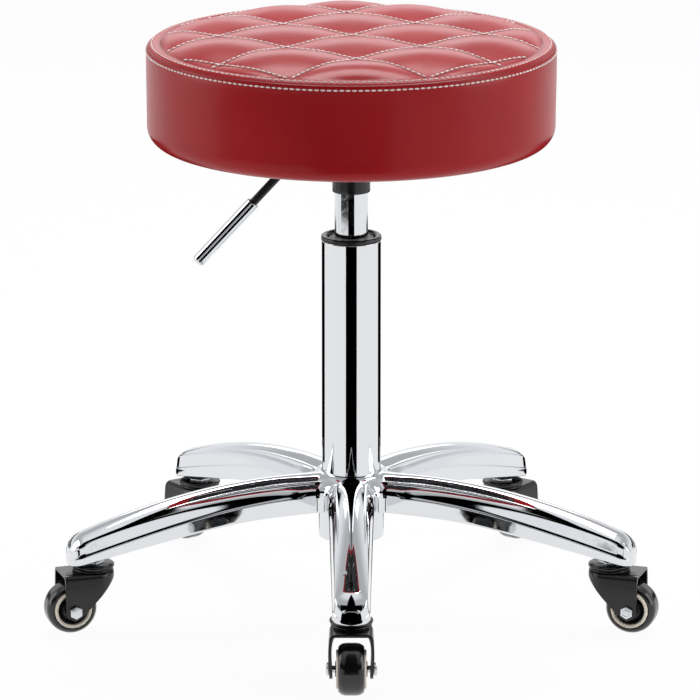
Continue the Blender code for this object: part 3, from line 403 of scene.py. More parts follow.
def chrome_plate(chrome, name="decorative chrome plate, polished", roughness=0.035):
    """Chrome over polished nickel: a mirror with a cool cast, and the faint waves of hand polishing."""
    made, tree, shader, where = new_material(name, Base_Color=rgba(chrome), Metallic=1.0, Roughness=roughness)
    # Polishing waves 25 mm apart, and a haze of wiping marks 4 mm across
    waves, marks = noise_at(tree, where, 0.025, 1.0), noise_at(tree, where, 0.004, 4.0)
    gloss = remap(tree, marks, (0.4, 0.75), (roughness * 0.8, roughness * 1.9))
    connect(tree, shader, None, gloss, ((waves, 0.05, 0.0010),))
    return made


def speckled(name, base, grain, depth, strength, vary, rough, **values):
    """A surface with fine noise, as enamel or a moulding has. Grain and depth are in metres."""
    made, tree, shader, where = new_material(name, Base_Color=rgba(base), **values)
    field = noise_at(tree, where, grain, 3.0)
    tone = colour_ramp(tree, field, (0.3, shade(base, 1 - vary)), (0.7, shade(base, 1 + vary)))
    gloss = remap(tree, field, (0.3, 0.7), rough)
    connect(tree, shader, tone, gloss, ((field, strength, depth),))
    return made


def lathe_marks(name, base, pitch, rough):
    """Machined or ground metal: fine rings of tool marks round an upright axis."""
    made, tree, shader, where = new_material(name, Base_Color=rgba(base), Metallic=1.0, Roughness=rough)
    tool = {"Vector": where, "Scale": 1 / pitch / tau, "Distortion": 0.6}
    rings = add_node(tree, "TexWave", tool, bands_direction="Z").outputs["Fac"]
    gloss = remap(tree, rings, (0.0, 1.0), (rough * 0.8, rough * 1.3))
    connect(tree, shader, None, gloss, ((rings, 0.15, 0.00005),))
    return made


def nonwoven_lining(lining):
    """Spunbonded polypropylene: matt fibres with rows of small welded dots."""
    made, tree, shader, where = new_material(
        "polypropylene lining, spunbonded", Base_Color=rgba(lining), Roughness=0.95, Sheen_Weight=0.2
    )
    # Weld dots 1.6 mm apart over fibres 0.3 mm thick
    weld = {"Vector": where, "Scale": 1 / 0.0016, "Randomness": 0.15}
    dots = add_node(tree, "TexVoronoi", weld).outputs["Distance"]
    fibres = noise_at(tree, where, 0.0003, 4.0)
    tone = colour_ramp(tree, fibres, (0.3, shade(lining, 0.6)), (0.7, shade(lining, 1.5)))
    connect(tree, shader, tone, bumps=((dots, 0.5, 0.0002), (fibres, 0.4, 0.0001)))
    return made


def plywood_board():
    """Rotary cut poplar plywood, unsanded: long grain on the faces and fine dark lines on the edge."""
    pale, dark = linear("#C9A47A"), linear("#8A6238")
    made, tree, shader, where = new_material(
        "poplar plywood, rotary cut", Base_Color=rgba(pale), Roughness=0.75
    )
    # Grain 36 mm long, with lines 4 mm apart on the face and 0.6 mm apart on the edge
    stretch = add_node(tree, "Mapping", {"Vector": where, "Scale": (1.0, 9.0, 60.0)}).outputs["Vector"]
    grain = noise_at(tree, stretch, 1 / 28.0, 6.0)
    tone = colour_ramp(tree, grain, (0.35, dark), (0.65, pale))
    connect(tree, shader, tone, bumps=((grain, 0.2, 0.0003),))
    return made


FINISHES = {}


def finishes():
    """The rigid pieces' materials, made once and shared. Each is named by what it is and how it was made."""
    if not FINISHES:
        scene = bpy.context.scene
        lift, caster = scene.stool_lift, scene.stool_casters
        black, zinc = list(lift.black), list(caster.zinc)
        FINISHES.update({
            "chrome": chrome_plate(list(lift.chrome)),
            # The inner tube is ground before plating, so it is a little softer than the outer one
            "hard chrome": chrome_plate(list(lift.chrome), "hard chrome plate, ground", 0.07),
            # Electrophoretic black on pressed steel: glossy, with orange peel 2 mm across
            "enamel": speckled(
                "black enamel on steel, dipped", black, 0.002, 0.00008, 0.04, 0.1, (0.20, 0.28)
            ),
            # ABS from a fine mould: an even gloss
            "plastic": speckled(
                "black ABS, injection moulded", black, 0.0012, 0.00005, 0.05, 0.1, (0.24, 0.32)
            ),
            # Bright zinc: a pale metal with fine crystals
            "zinc": speckled(
                "bright zinc plate on steel", zinc, 0.0008, 0.00003, 0.2, 0.06, (0.22, 0.34), Metallic=1.0
            ),
            # Cast polyurethane: smooth and wet looking, with a slight bloom
            "tyre": speckled(
                "black polyurethane tread, cast", list(caster.tyre), 0.004, 0.00008, 0.1, 0.15, (0.16, 0.24),
                Coat_Weight=0.3, Coat_Roughness=0.08,
            ),
            # Glass filled nylon: creamy
            "ring": speckled(
                "cream nylon, injection moulded", list(caster.ring), 0.0009, 0.00005, 0.15, 0.04, (0.36, 0.46)
            ),
            "nylon": speckled(
                "natural nylon, injection moulded", linear("#D8D9D6"), 0.0009, 0.00005, 0.15, 0.04,
                (0.45, 0.55),
            ),
            # Nitrile rubber: matt, with mould release bloom
            "rubber": speckled(
                "black nitrile rubber, moulded", linear("#171717"), 0.0008, 0.0001, 0.3, 0.3, (0.75, 0.9)
            ),
            # Turned aluminium: tool rings 0.25 mm apart
            "aluminium": lathe_marks("6061 aluminium, turned", linear("#C9CCD0"), 0.00025, 0.3),
            # Ground bearing steel: rings 0.12 mm apart, drawn 0.3 mm so that they show
            "bearing": lathe_marks("bearing steel, ground", linear("#A9ABAE"), 0.0003, 0.2),
            "plywood": plywood_board(),
        })
    return FINISHES


# The seat's shape

def quilt(seat, x, y):
    """Seam coordinates: a seam runs wherever either is a whole number. x and y are from the column."""
    c, s = cos(seat.quilt_turn), sin(seat.quilt_turn)
    across, deep = (x * c + y * s) / seat.diamond_width, (y * c - x * s) / seat.diamond_depth
    return across + deep, across - deep


def panel_height(seat, x, y):
    """Height of the panel: lowest where seams cross, higher along them, highest amid a diamond."""
    r = hypot(x, y)
    u, v = quilt(seat, x, y)
    su, sv = abs(sin(pi * u)), abs(sin(pi * v))
    roll_start, roll_drop, fade = 0.105, 0.0062, 0.026
    roll = max(0.0, (r - roll_start) / (seat.panel_radius - roll_start))
    inward = min(1.0, max(0.0, (seat.panel_radius - r) / fade))
    edge = sqrt(1 - (1 - inward) ** 2)
    puffed = seat.puff * (su * sv) ** 0.72 + seat.seam_rise * (su * su + sv * sv) / 2
    return seat.crossing_height - roll_drop * roll ** 2 + puffed * edge


def seam_pitch(seat):
    return 1 / hypot(1 / seat.diamond_width, 1 / seat.diamond_depth)


def seam_distance(seat, x, y):
    """Distance to the nearest quilting seam."""
    return min(abs(q - round(q)) for q in quilt(seat, x, y)) * seam_pitch(seat)


def cover_profile(seat):
    """The cover from the quilted panel's rim to the recess for the board, as (radius, height)."""
    rim, side, low = seat.panel_radius, seat.radius, seat.bottom
    board_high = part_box("seat_board")[1]
    recess = board_high.x + 0.0003
    # The padded roll round the panel, the seam at the seat's edge and its stitched dip, then the side
    out = [
        (rim + 0.0008, 0.4886), (rim + 0.0022, 0.4891), (rim + 0.0042, 0.48915), (rim + 0.0060, 0.4887),
        (rim + 0.0075, 0.4880), (rim + 0.0086, 0.4871), (rim + 0.0092, 0.4864), (rim + 0.0098, 0.4863),
        (side - 0.0003, 0.4856), (side + 0.0001, 0.4842), (side - 0.0002, 0.4828), (side + 0.0002, 0.4812),
        (side + 0.0003, 0.4760), (side + 0.0003, 0.4660), (side + 0.0002, 0.4550), (side + 0.0001, 0.4440),
        (side, 0.4340), (side - 0.0002, 0.4250),
    ]
    corner = 0.0150
    for step in range(7):
        angle = pi / 2 * step / 6
        out.append((side - corner + corner * cos(angle), low + corner - corner * sin(angle)))
    # The hem, turned under the board's edge
    hem = board_high.x - 0.015
    out += [
        (side - corner - 0.004, low), (hem + 0.008, low), (hem + 0.003, low), (hem, low + 0.0004),
        (hem, low + 0.0016), (recess, low + 0.0019), (recess, board_high.z + 0.0003),
    ]
    return out


def cushion_mesh(seat):
    """The whole cushion, from a grid bent to a disc and carried over the side by extruding its rim."""
    bm = bmesh.new()
    bmesh.ops.create_grid(bm, x_segments=120, y_segments=120, size=1.0)
    for v in bm.verts:
        gx, gy = v.co.x, v.co.y
        x = gx * sqrt(1 - gy * gy / 2) * seat.panel_radius
        y = gy * sqrt(1 - gx * gx / 2) * seat.panel_radius
        v.co = (x, y, panel_height(seat, x, y))
    rim = [e for e in bm.edges if e.is_boundary]
    hem_start = seat.radius - 0.018
    for radius, height in cover_profile(seat):
        made = bmesh.ops.extrude_edge_only(bm, edges=rim)["geom"]
        rim = [e for e in made if isinstance(e, bmesh.types.BMEdge) and e.is_boundary]
        for v in (v for v in made if isinstance(v, bmesh.types.BMVert)):
            angle = atan2(v.co.y, v.co.x)
            out = Vector((cos(angle), sin(angle), 0))
            z = height
            if height < seat.bottom + 0.001 and radius < hem_start:
                # The hem is gathered into pleats where it turns under
                z -= 0.0005 * max(0.0, sin(angle * 44 + 2 * sin(angle * 7)))
            stretch = 0.0003 if 0.43 < height < 0.482 else 0.0
            pulled = radius + stretch * noise.noise(Vector((cos(angle) * 1.6, sin(angle) * 1.6, height * 8)))
            v.co = out * pulled + Vector((0, 0, z))
    # Triangles, since one face with hundreds of sides takes the subdivision many minutes
    bmesh.ops.triangle_fill(bm, edges=rim, use_beauty=True, normal=(0, 0, -1))
    return mesh_from(bm, "seat_cushion", Matrix.Translation(COLUMN))


def inflate(cushion, seat):
    """Blows the quilted diamonds up as cloth that is held along its seams, and keeps the result."""
    start = [v.co.copy() for v in cushion.data.vertices]
    held = cushion.vertex_groups.new(name="held")
    for v in cushion.data.vertices:
        x, y = v.co.x - COLUMN.x, v.co.y - COLUMN.y
        on_top = v.co.z > 0.4885 and hypot(x, y) < seat.panel_radius - 0.002
        weight = 1.0 - ramp(seam_distance(seat, x, y), 0.0015, 0.0050) if on_top else 1.0
        held.add([v.index], weight, "REPLACE")
    cloth = cushion.modifiers.new("cloth", "CLOTH")
    for key, value in {
        "quality": 5, "mass": 0.2, "tension_stiffness": 5, "compression_stiffness": 5, "shear_stiffness": 1,
        "bending_stiffness": 0.2, "use_pressure": True, "uniform_pressure_force": 40.0,
        "vertex_group_mass": "held",
    }.items():
        setattr(cloth.settings, key, value)
    cloth.settings.effector_weights.gravity = 0.0
    cloth.collision_settings.use_collision = False
    frames, furthest = 20, 0.0020
    cloth.point_cache.frame_start, cloth.point_cache.frame_end = 1, frames
    scene = bpy.context.scene
    for number in range(1, frames + 1):
        scene.frame_set(number)
    graph = bpy.context.evaluated_depsgraph_get()
    blown = [v.co.copy() for v in cushion.evaluated_get(graph).data.vertices]
    scene.frame_set(1)
    cushion.modifiers.remove(cloth)
    cushion.vertex_groups.remove(held)
    moved = [b - a for a, b in zip(start, blown)]
    print("cushion moved, mm: most", round(max(m.length for m in moved) * 1000, 2))
    for v, a, move in zip(cushion.data.vertices, start, moved):
        if move.length > furthest:
            move = move.normalized() * furthest
        v.co = a + move


def mark_crease_shade(mesh, seat):
    """Stores how deep in a seam each point of the leather lies, for the painted shade that the material puts
    in the seams.
    """
    edge_seam = seat.panel_radius + 0.0095
    # A mask of painted shade: 1 down in a seam, where the material darkens the leather, and 0 away from the
    # seams
    crease = mesh.attributes.new("crease", "FLOAT", "POINT")
    for v, value in zip(mesh.vertices, crease.data):
        x, y = v.co.x - COLUMN.x, v.co.y - COLUMN.y
        r = hypot(x, y)
        depth = 0.0
        if v.co.z > 0.487 and r < seat.panel_radius:
            depth = 1.0 - ramp(seam_distance(seat, x, y), 0.0006, 0.0030)
        ring = min(abs(r - seat.panel_radius), abs(r - edge_seam))
        if v.co.z > 0.485:
            depth = max(depth, 1.0 - ramp(ring, 0.0002, 0.0012))
        value.value = depth


def bead_mesh():
    """One stitch's bead of thread, one unit long and wide."""
    bm = bmesh.new()
    bmesh.ops.create_uvsphere(bm, u_segments=8, v_segments=5, radius=0.5)
    return mesh_from(bm, "bead")


def add_stitch(bm, bead, here, along, up, size):
    """One stitch: a bead of thread that lies along the seam."""
    side = up.cross(along).normalized()
    over = along.cross(side).normalized()
    turn = Matrix((side * size[1], over * size[2], along * size[0])).transposed().to_4x4()
    placed = copy_at(bead, "stitch", Matrix.Translation(here) @ turn)
    bm.from_mesh(placed)
    bpy.data.meshes.remove(placed)


def stitch_route(bm, bead, route, size, gap, lift=0.0):
    """Stitches along a route of (point, up), a stitch and a gap at a time."""
    travelled, due = 0.0, gap / 2 + size[0] / 2
    for (a, up_a), (b, _) in zip(route, route[1:]):
        step = (b - a).length
        while due <= travelled + step and step > 0:
            share = (due - travelled) / step
            add_stitch(bm, bead, a.lerp(b, share) + up_a * lift, (b - a).normalized(), up_a, size)
            due += size[0] + gap
        travelled += step


def seam_routes(seat):
    """The quilting seams as routes over the panel, from rim to rim."""
    pitch = seam_pitch(seat)
    reach = seat.panel_radius - 0.001
    routes = []
    for family in (1, -1):
        normal = Vector((1 / seat.diamond_width, family / seat.diamond_depth, 0)).normalized()
        normal.rotate(Matrix.Rotation(seat.quilt_turn, 3, "Z"))
        along = Vector((-normal.y, normal.x, 0))
        for number in range(-2, 3):
            offset = number * pitch
            if abs(offset) >= reach:
                continue
            half = sqrt(reach ** 2 - offset ** 2)
            route = []
            for step in range(161):
                flat = normal * offset + along * between(-half, half, step / 160)
                z = panel_height(seat, flat.x, flat.y)
                route.append((Vector((flat.x, flat.y, z)) + COLUMN, Vector((0, 0, 1))))
            routes.append(route)
    return routes


def ring_route(radius, height, up_angle, steps=240):
    """A route round the seat. up_angle tips the stitches' upper side outward from straight up."""
    route = []
    for step in range(steps + 1):
        angle = tau * step / steps
        out = Vector((cos(angle), sin(angle), 0))
        up = out * sin(up_angle) + Vector((0, 0, cos(up_angle)))
        route.append((out * radius + Vector((0, 0, height)) + COLUMN, up))
    return route


class STOOL_OT_cushion(bpy.types.Operator):
    """Makes the quilted leather cushion and its seams"""
    bl_idname = "stool.cushion"
    bl_label = "Cushion"

    def execute(self, context):
        seat = context.scene.stool_seat
        mesh = cushion_mesh(seat)
        leather = upholstery_leather(list(seat.leather))
        cushion = piece(
            "seat_cushion", mesh, leather, "seat", ("seat_cover", "seat_foam"), "red_leather", sharp=180
        )
        inflate(cushion, seat)
        mark_crease_shade(cushion.data, seat)
        finer = cushion.modifiers.new("finer", "SUBSURF")
        finer.levels = finer.render_levels = 1

        thread, bead = sewing_thread(list(seat.thread)), bead_mesh()
        bm = bmesh.new()
        # Sizes of a stitch: (length, width, thickness), then the gap to the next and the lift
        for route in seam_routes(seat):
            stitch_route(bm, bead, route, (0.0048, 0.0016, 0.0014), 0.0008, 0.0005)
        piece("quilting_stitches", mesh_from(bm, "quilting_stitches"), thread, "seat")
        bm = bmesh.new()
        rim, side = seat.panel_radius, seat.radius
        rows = ((rim + 0.0063, 0.4888, radians(25), 0.0009), (side + 0.0002, 0.4828, radians(88), 0.0015))
        for radius, height, tip, thick in rows:
            stitch_route(bm, bead, ring_route(radius, height, tip), (0.0042, thick, 0.0012), 0.0009)
        piece("edge_stitches", mesh_from(bm, "edge_stitches"), thread, "seat")
        return {"FINISHED"}


class STOOL_OT_underside(bpy.types.Operator):
    """Makes the lining and staples under the seat, and finishes the board, plate and screws"""
    bl_idname = "stool.underside"
    bl_label = "Underside"

    def execute(self, context):
        seat = context.scene.stool_seat
        look = finishes()
        low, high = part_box("dust_cover")
        radius = (high.x - low.x) / 2
        place = Matrix.Translation(COLUMN)
        bm = bmesh.new()
        sheet = [
            (0.0, high.z), (radius, high.z, 0.0003), (radius, low.z, 0.0003), (0.108, low.z), (0.0, low.z),
        ]
        spin(bm, sheet, False, 120)
        bmesh.ops.recalc_face_normals(bm, faces=bm.faces)
        mesh, cloth = mesh_from(bm, "seat_lining", place), nonwoven_lining(list(seat.lining))
        lining = piece("seat_lining", mesh, cloth, "seat", ("dust_cover",), "black_lining")

        bm = bmesh.new()
        for number in range(40):
            angle = tau * (number + 0.5) / 40
            turn = Matrix.Rotation(angle, 4, "Z")
            at_rim = Matrix.Translation((radius - 0.005, 0, low.z - 0.0003))
            askew = Matrix.Rotation(0.12 * sin(number * 2.3), 4, "Z")
            size = Matrix.Diagonal((0.0012, 0.0100, 0.0006, 1.0))
            crown = bmesh.ops.create_cube(bm, size=1.0, matrix=turn @ at_rim @ askew @ size)
            soften(bm, {e for v in crown["verts"] for e in v.link_edges}, 0.0002, 1)
        piece("lining_staples", mesh_from(bm, "lining_staples", place), look["zinc"], "seat")

        refinish("plywood", "seat_board")
        refinish("enamel", "seat_plate", "lever_channel")
        refinish("zinc", "lever_pin")
        for number in range(1, 5):
            name = f"seat_screw_{number}"
            low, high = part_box(name)
            middle = ((low.x + high.x) / 2, (low.y + high.y) / 2)
            bm = bmesh.new()
            head = low.z + 0.0042
            prism(bm, 0.0100, low.z, head, 0.0005, 6, middle)
            shank = bmesh.ops.create_cone(
                bm, cap_ends=True, segments=20, radius1=0.0030, radius2=0.0030, depth=high.z - head + 0.0006,
                matrix=Matrix.Translation((*middle, (high.z + head) / 2)),
            )
            edges = {e for v in shank["verts"] for e in v.link_edges}
            soften(bm, (e for e in edges if e.calc_face_angle() > 1), 0.0003, 1)
            piece(f"seat_bolt_{number}", mesh_from(bm, name), look["zinc"], "seat", (name,), "zinc_steel", 30)
        return {"FINISHED"}


def refinish(finish, *names):
    """Gives CAD nodes that keep their shape a better material."""
    for name in names:
        mesh = frame["nodes"][name].data
        mesh.materials.clear()
        mesh.materials.append(finishes()[finish])


class STOOL_OT_gas_lift(bpy.types.Operator):
    """Makes the tubes, cap and collar of the gas lift, and finishes what is inside it"""
    bl_idname = "stool.gas_lift"
    bl_label = "Gas lift"

    def execute(self, context):
        steps = context.scene.stool_lift.steps
        look = finishes()
        place = Matrix.Translation(COLUMN)
        hub = context.scene.stool_base.crown
        radius, top, foot = (TUBE_HIGH.x - TUBE_LOW.x) / 2, TUBE_HIGH.z, TUBE_LOW.z
        wall = 0.0015
        floor, hole, taper = foot + 0.0025, 0.0046, 0.0008
        outer = [
            (radius, top, 0.0004), (radius, hub), (radius - taper, foot, 0.001), (hole, foot), (hole, floor),
            (radius - taper - wall, floor), (radius - wall, hub), (radius - wall, top, 0.0004),
        ]

        low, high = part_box("ring_cap")
        rim, crest = (high.x - low.x) / 2, high.z - 0.0032
        plug = radius - wall - 0.0003
        throat = 0.0195
        cap = [
            (rim - 0.0002, crest, 0.0014), (rim, top + 0.0004, 0.0005), (plug, top + 0.0003),
            (plug, low.z, 0.0004), (throat, low.z, 0.0003), (throat, crest - 0.0042),
            (0.0204, crest - 0.0012, 0.0006), (0.0222, crest, 0.0008),
        ]

        low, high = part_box("pressure_tube")
        radius, collar = (high.x - low.x) / 2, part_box("socket_tube")
        bore, button = radius - wall, 0.0043
        inner = [
            (radius - 0.0005, high.z, 0.0008), (radius, collar[0].z), (radius, low.z, 0.0005), (bore, low.z),
            (bore, high.z - 0.004), (button, high.z - 0.004), (button, high.z, 0.0003),
        ]
        low, high = collar
        outside, lip = (high.x - low.x) / 2, low.z - 0.0034
        socket = [
            (radius - 0.0002, high.z), (outside, high.z, 0.0005), (outside, lip, 0.0026),
            (radius + 0.0008, lip, 0.0006), (radius + 0.0003, lip + 0.002),
        ]
        for name, node, profile, finish, body, slot in (
            ("outer_tube_chromed", "outer_tube", outer, "chrome", "base", "chrome"),
            ("ring_cap_moulded", "ring_cap", cap, "plastic", "base", "black_plastic"),
            ("pressure_tube_chromed", "pressure_tube", inner, "hard chrome", "seat", "chrome"),
            ("socket_tube_enamelled", "socket_tube", socket, "enamel", "seat", "black_steel"),
        ):
            piece(name, turned(node, profile, True, steps, place), look[finish], body, (node,), slot)

        refinish("nylon", "guide_bush")
        refinish("bearing", "lower_race", "upper_race", "thrust_bearing")
        refinish("hard chrome", "piston_rod")
        refinish("aluminium", "piston", "valve_block")
        refinish("rubber", "piston_seal", "bump_stop")
        refinish("zinc", "rod_clip")
        refinish("plastic", "rod_guide", "valve_button")
        return {"FINISHED"}


class STOOL_OT_lever(bpy.types.Operator):
    """Makes the height lever and its chromed handle"""
    bl_idname = "stool.lever"
    bl_label = "Height lever"

    def execute(self, context):
        look = finishes()
        pivot = joint_place("height_lever")
        slope = radians(47.5)
        down = Vector((-cos(slope), 0, -sin(slope)))
        bend = Vector((-0.0235, 0, 0))
        turn = 0.010
        trim = turn * tan(slope / 2)
        centre = bend + Vector((trim, 0, -turn))
        route = [Vector((-0.0045, 0, 0)), Vector((-0.010, 0, 0))]
        for step in range(13):
            angle = slope * step / 12
            route.append(centre + turn * Vector((-sin(angle), 0, cos(angle))))
        route.append(bend + down * 0.0830)
        bm = bmesh.new()
        sweep(bm, route, 0.0035, 28)
        boss = mirrored([(0.0023, 0.006, 0.0003), (0.0065, 0.006, 0.0006)])
        eye = turned("eye", boss, True, 48, Matrix.Rotation(pi / 2, 4, "X"))
        bm.from_mesh(eye)
        bpy.data.meshes.remove(eye)
        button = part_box("valve_button")[1].z - pivot.z + 0.0003
        block(bm, (0.0045, -0.0045, button), (0.0240, 0.0045, button + 0.003), 0.0006)
        rod = mesh_from(bm, "lever_rod", Matrix.Translation(pivot))
        piece("lever_rod_enamelled", rod, look["enamel"], "lever", ("lever_rod",), "black_steel")

        long, radius, bore, deep = 0.070, 0.0055, 0.0038, 0.0263
        sleeve = [
            (0.0, 0.0), (radius - 0.0014, 0.0, 0.0010), (radius, 0.0012, 0.0012), (radius, long, 0.0007),
            (bore, long, 0.0003), (bore, long - deep), (0.0, long - deep),
        ]
        low_end = pivot + bend + down * (0.0570 + long)
        place = Matrix.Translation(low_end) @ Matrix.Rotation(pi / 2 - slope, 4, "Y")
        handle = turned("lever_handle", sleeve, False, 48, place)
        piece("lever_handle_chromed", handle, look["chrome"], "lever", ("lever_handle",), "chrome")
        return {"FINISHED"}


# The five-star base. All in one arm's frame: the column on Z, the arm along X.

def crown_height(base, r):
    into = max(0.0, r - (base.reach - base.nose))
    fall = base.nose - sqrt(max(0.0, base.nose ** 2 - into ** 2))
    bend = 0.5123
    return base.crown - max(0.0, r - 0.050) ** 2 / (2 * bend) - fall


def skirt_height(r):
    """Height of an arm's lower edge: level near the hub, and sloping down further out."""
    level, slope, blend = 0.0905, 0.208, 0.040
    past = r - 0.100
    return level - slope * (past + hypot(past, blend)) / 2


def arm_half_width(r):
    at_hub, taper = 0.0197, 0.0042
    return at_hub - taper * min(1.0, max(0.0, (r - 0.050) / 0.200))


def arm_section(base, r):
    """Half a section of an arm, as (distance across, height), from the crown's middle to its hollow's middle.

    The first CROWN points lie on the crown, and the last ROOF points on the roof inside.
    """
    straight = min(r, base.reach - base.nose)
    top, bottom, half = crown_height(base, r), skirt_height(r), arm_half_width(r)
    flat_top = crown_height(base, straight)
    tall = flat_top - bottom
    along = min(1.0, max(0.0, (r - 0.060) / 0.175))
    ledge = ramp(r, 0.046, 0.064)
    edge_drop = (0.36 - 0.16 * along) * tall
    step_drop = (0.49 + 0.16 * along) * tall
    shoulder = between(0.95, 0.86, ledge) * half
    shares = [i / (CROWN - 1) * 0.90 for i in range(CROWN)]
    points = [(shoulder * share, top - edge_drop * share * share) for share in shares]
    lower = top - bottom
    step_z = bottom + lower * (1 - step_drop / tall)
    points += [
        (shoulder, top - edge_drop * lower / tall, 0.0026),
        (between(0.992, 0.955, ledge) * half, step_z, between(0.0003, 0.0009, ledge)),
        (half, step_z - between(0.0020, 0.0013, ledge), between(0.0003, 0.0008, ledge)),
        (half, bottom, 0.0012),
        (half - base.wall, bottom, 0.0008),
    ]
    hollow = 1.0 - ramp(r, 0.198, 0.210)
    roof = between(bottom, top - base.wall, hollow)
    draft = 0.0012
    points.append((half - base.wall - draft * hollow, roof, 0.0030 * hollow + 0.00001))
    points += [((half - base.wall - draft) * 0.9 * (1 - i / ROOF), roof) for i in range(1, ROOF + 1)]
    return rounded(points, False)


CROWN = 13
ROOF = 5


def star_mesh(base):
    """The casting: half an arm as one bent grid, mirrored and repeated round the column."""
    ring, boss, arm_start = 0.0254, 0.0279, 0.066
    nose_start = base.reach - base.nose
    fan, spread, arm, nose = 16, 8, 30, 14
    stations = [("fan", i / fan) for i in range(fan)] + [("spread", i / spread) for i in range(spread)]
    stations += [("arm", between(arm_start, nose_start, i / arm)) for i in range(arm)]
    stations += [("nose", i / nose) for i in range(nose + 1)]

    corner = arm_half_width(0.05) * 0.95
    s = sin(HALF_SECTOR)
    fillet = (base.web_radius - corner / s) / (1 / s - 1)
    far = (corner + fillet) / s
    centre = Vector((far * cos(HALF_SECTOR), far * s))
    tangent = centre.x

    def station(kind, share):
        """(start on the crown, start under the roof, shoulder point, outward, section's r, narrowing)"""
        if kind == "fan":
            angle = HALF_SECTOR * (1 - share)
            way = pi + HALF_SECTOR + (pi / 2 - HALF_SECTOR) * share
            radial = Vector((cos(way), sin(way)))
            a = Vector((cos(angle), sin(angle)))
            return a * ring, a * boss, centre + radial * fillet, -radial, 0.045, 1.0
        narrow = 1.0
        if kind == "spread":
            start = between(ring, arm_start, share ** 1.15)
            under = max(start, between(boss, arm_start, share))
            end = between(tangent, arm_start, share ** 1.3)
        elif kind == "arm":
            start = under = end = share
        else:
            turn = pi / 2 * share
            start = under = end = nose_start + base.nose * sin(turn) ** 0.85
            narrow = max(0.0, cos(turn)) ** 0.62
        return Vector((start, 0)), Vector((under, 0)), Vector((end, 0)), Vector((0, 1)), end, narrow

    def place(i, j):
        kind, share = stations[i]
        start, under, end, out, r, narrow = station(kind, share)
        section = arm_section(base, min(r, base.reach))
        across, z = section[j]
        shoulder = section[CROWN - 1].x / 0.90
        if kind != "fan":
            end = Vector((end.x, shoulder))
        if j < CROWN:
            flat = start.lerp(end, across / shoulder)
        elif j >= len(section) - ROOF - 1:
            widest = section[len(section) - ROOF - 1].x
            edge = end + out * (widest - shoulder)
            flat = under.lerp(edge, across / widest)
        else:
            flat = end + out * (across - shoulder)
        return Vector((flat.x, flat.y * narrow, z))

    bm = bmesh.new()
    grid_skin(bm, len(stations), len(arm_section(base, 0.1)), place)
    geom = bm.verts[:] + bm.edges[:] + bm.faces[:]
    bmesh.ops.mirror(bm, geom=geom, matrix=Matrix.Identity(4), merge_dist=0.0, axis="Y")
    half = bm.verts[:] + bm.edges[:] + bm.faces[:]
    for number in range(1, 5):
        made = bmesh.ops.duplicate(bm, geom=half)["geom"]
        verts = [v for v in made if isinstance(v, bmesh.types.BMVert)]
        bmesh.ops.rotate(bm, verts=verts, cent=(0, 0, 0), matrix=Matrix.Rotation(tau * number / 5, 3, "Z"))
    bmesh.ops.remove_doubles(bm, verts=bm.verts, dist=0.00002)
    open_edges = [e for e in bm.edges if e.is_boundary]
    bmesh.ops.bridge_loops(bm, edges=open_edges)
    bmesh.ops.dissolve_degenerate(bm, edges=bm.edges, dist=0.000005)
    # The hub's sleeve, which the outer tube stands in
    top, foot = base.crown - 0.0006, 0.062
    spin(bm, [
        (ring, top), (ring + 0.0012, top), (boss + 0.0002, 0.1150), (boss + 0.0001, foot, 0.0012),
        (0.0245, foot, 0.0006),
    ])
    return mesh_from(bm, "five_star_base")


class STOOL_OT_base(bpy.types.Operator):
    """Makes the chromed five-star base"""
    bl_idname = "stool.base"
    bl_label = "Five-star base"

    def execute(self, context):
        base = context.scene.stool_base
        mesh = star_mesh(base)
        mesh.transform(Matrix.Translation(COLUMN) @ Matrix.Rotation(-pi / 2, 4, "Z"))
        piece("five_star_base_chromed", mesh, finishes()["chrome"], "base", ("five_star_base",), "chrome", 50)
        return {"FINISHED"}


# Casters. All in one caster's frame: the stem on Z, the wheel trailing towards X.

def caster_places():
    """(number, placement) of each caster."""
    places = []
    for number in ARMS:
        stem, axle = joint_place(f"caster_swivel_{number}"), joint_place(f"wheel_spin_{number}")
        stem.z = axle.z = 0.0
        away = axle - stem
        places.append((number, Matrix.Translation(stem) @ Matrix.Rotation(atan2(away.y, away.x), 4, "Z")))
    return places


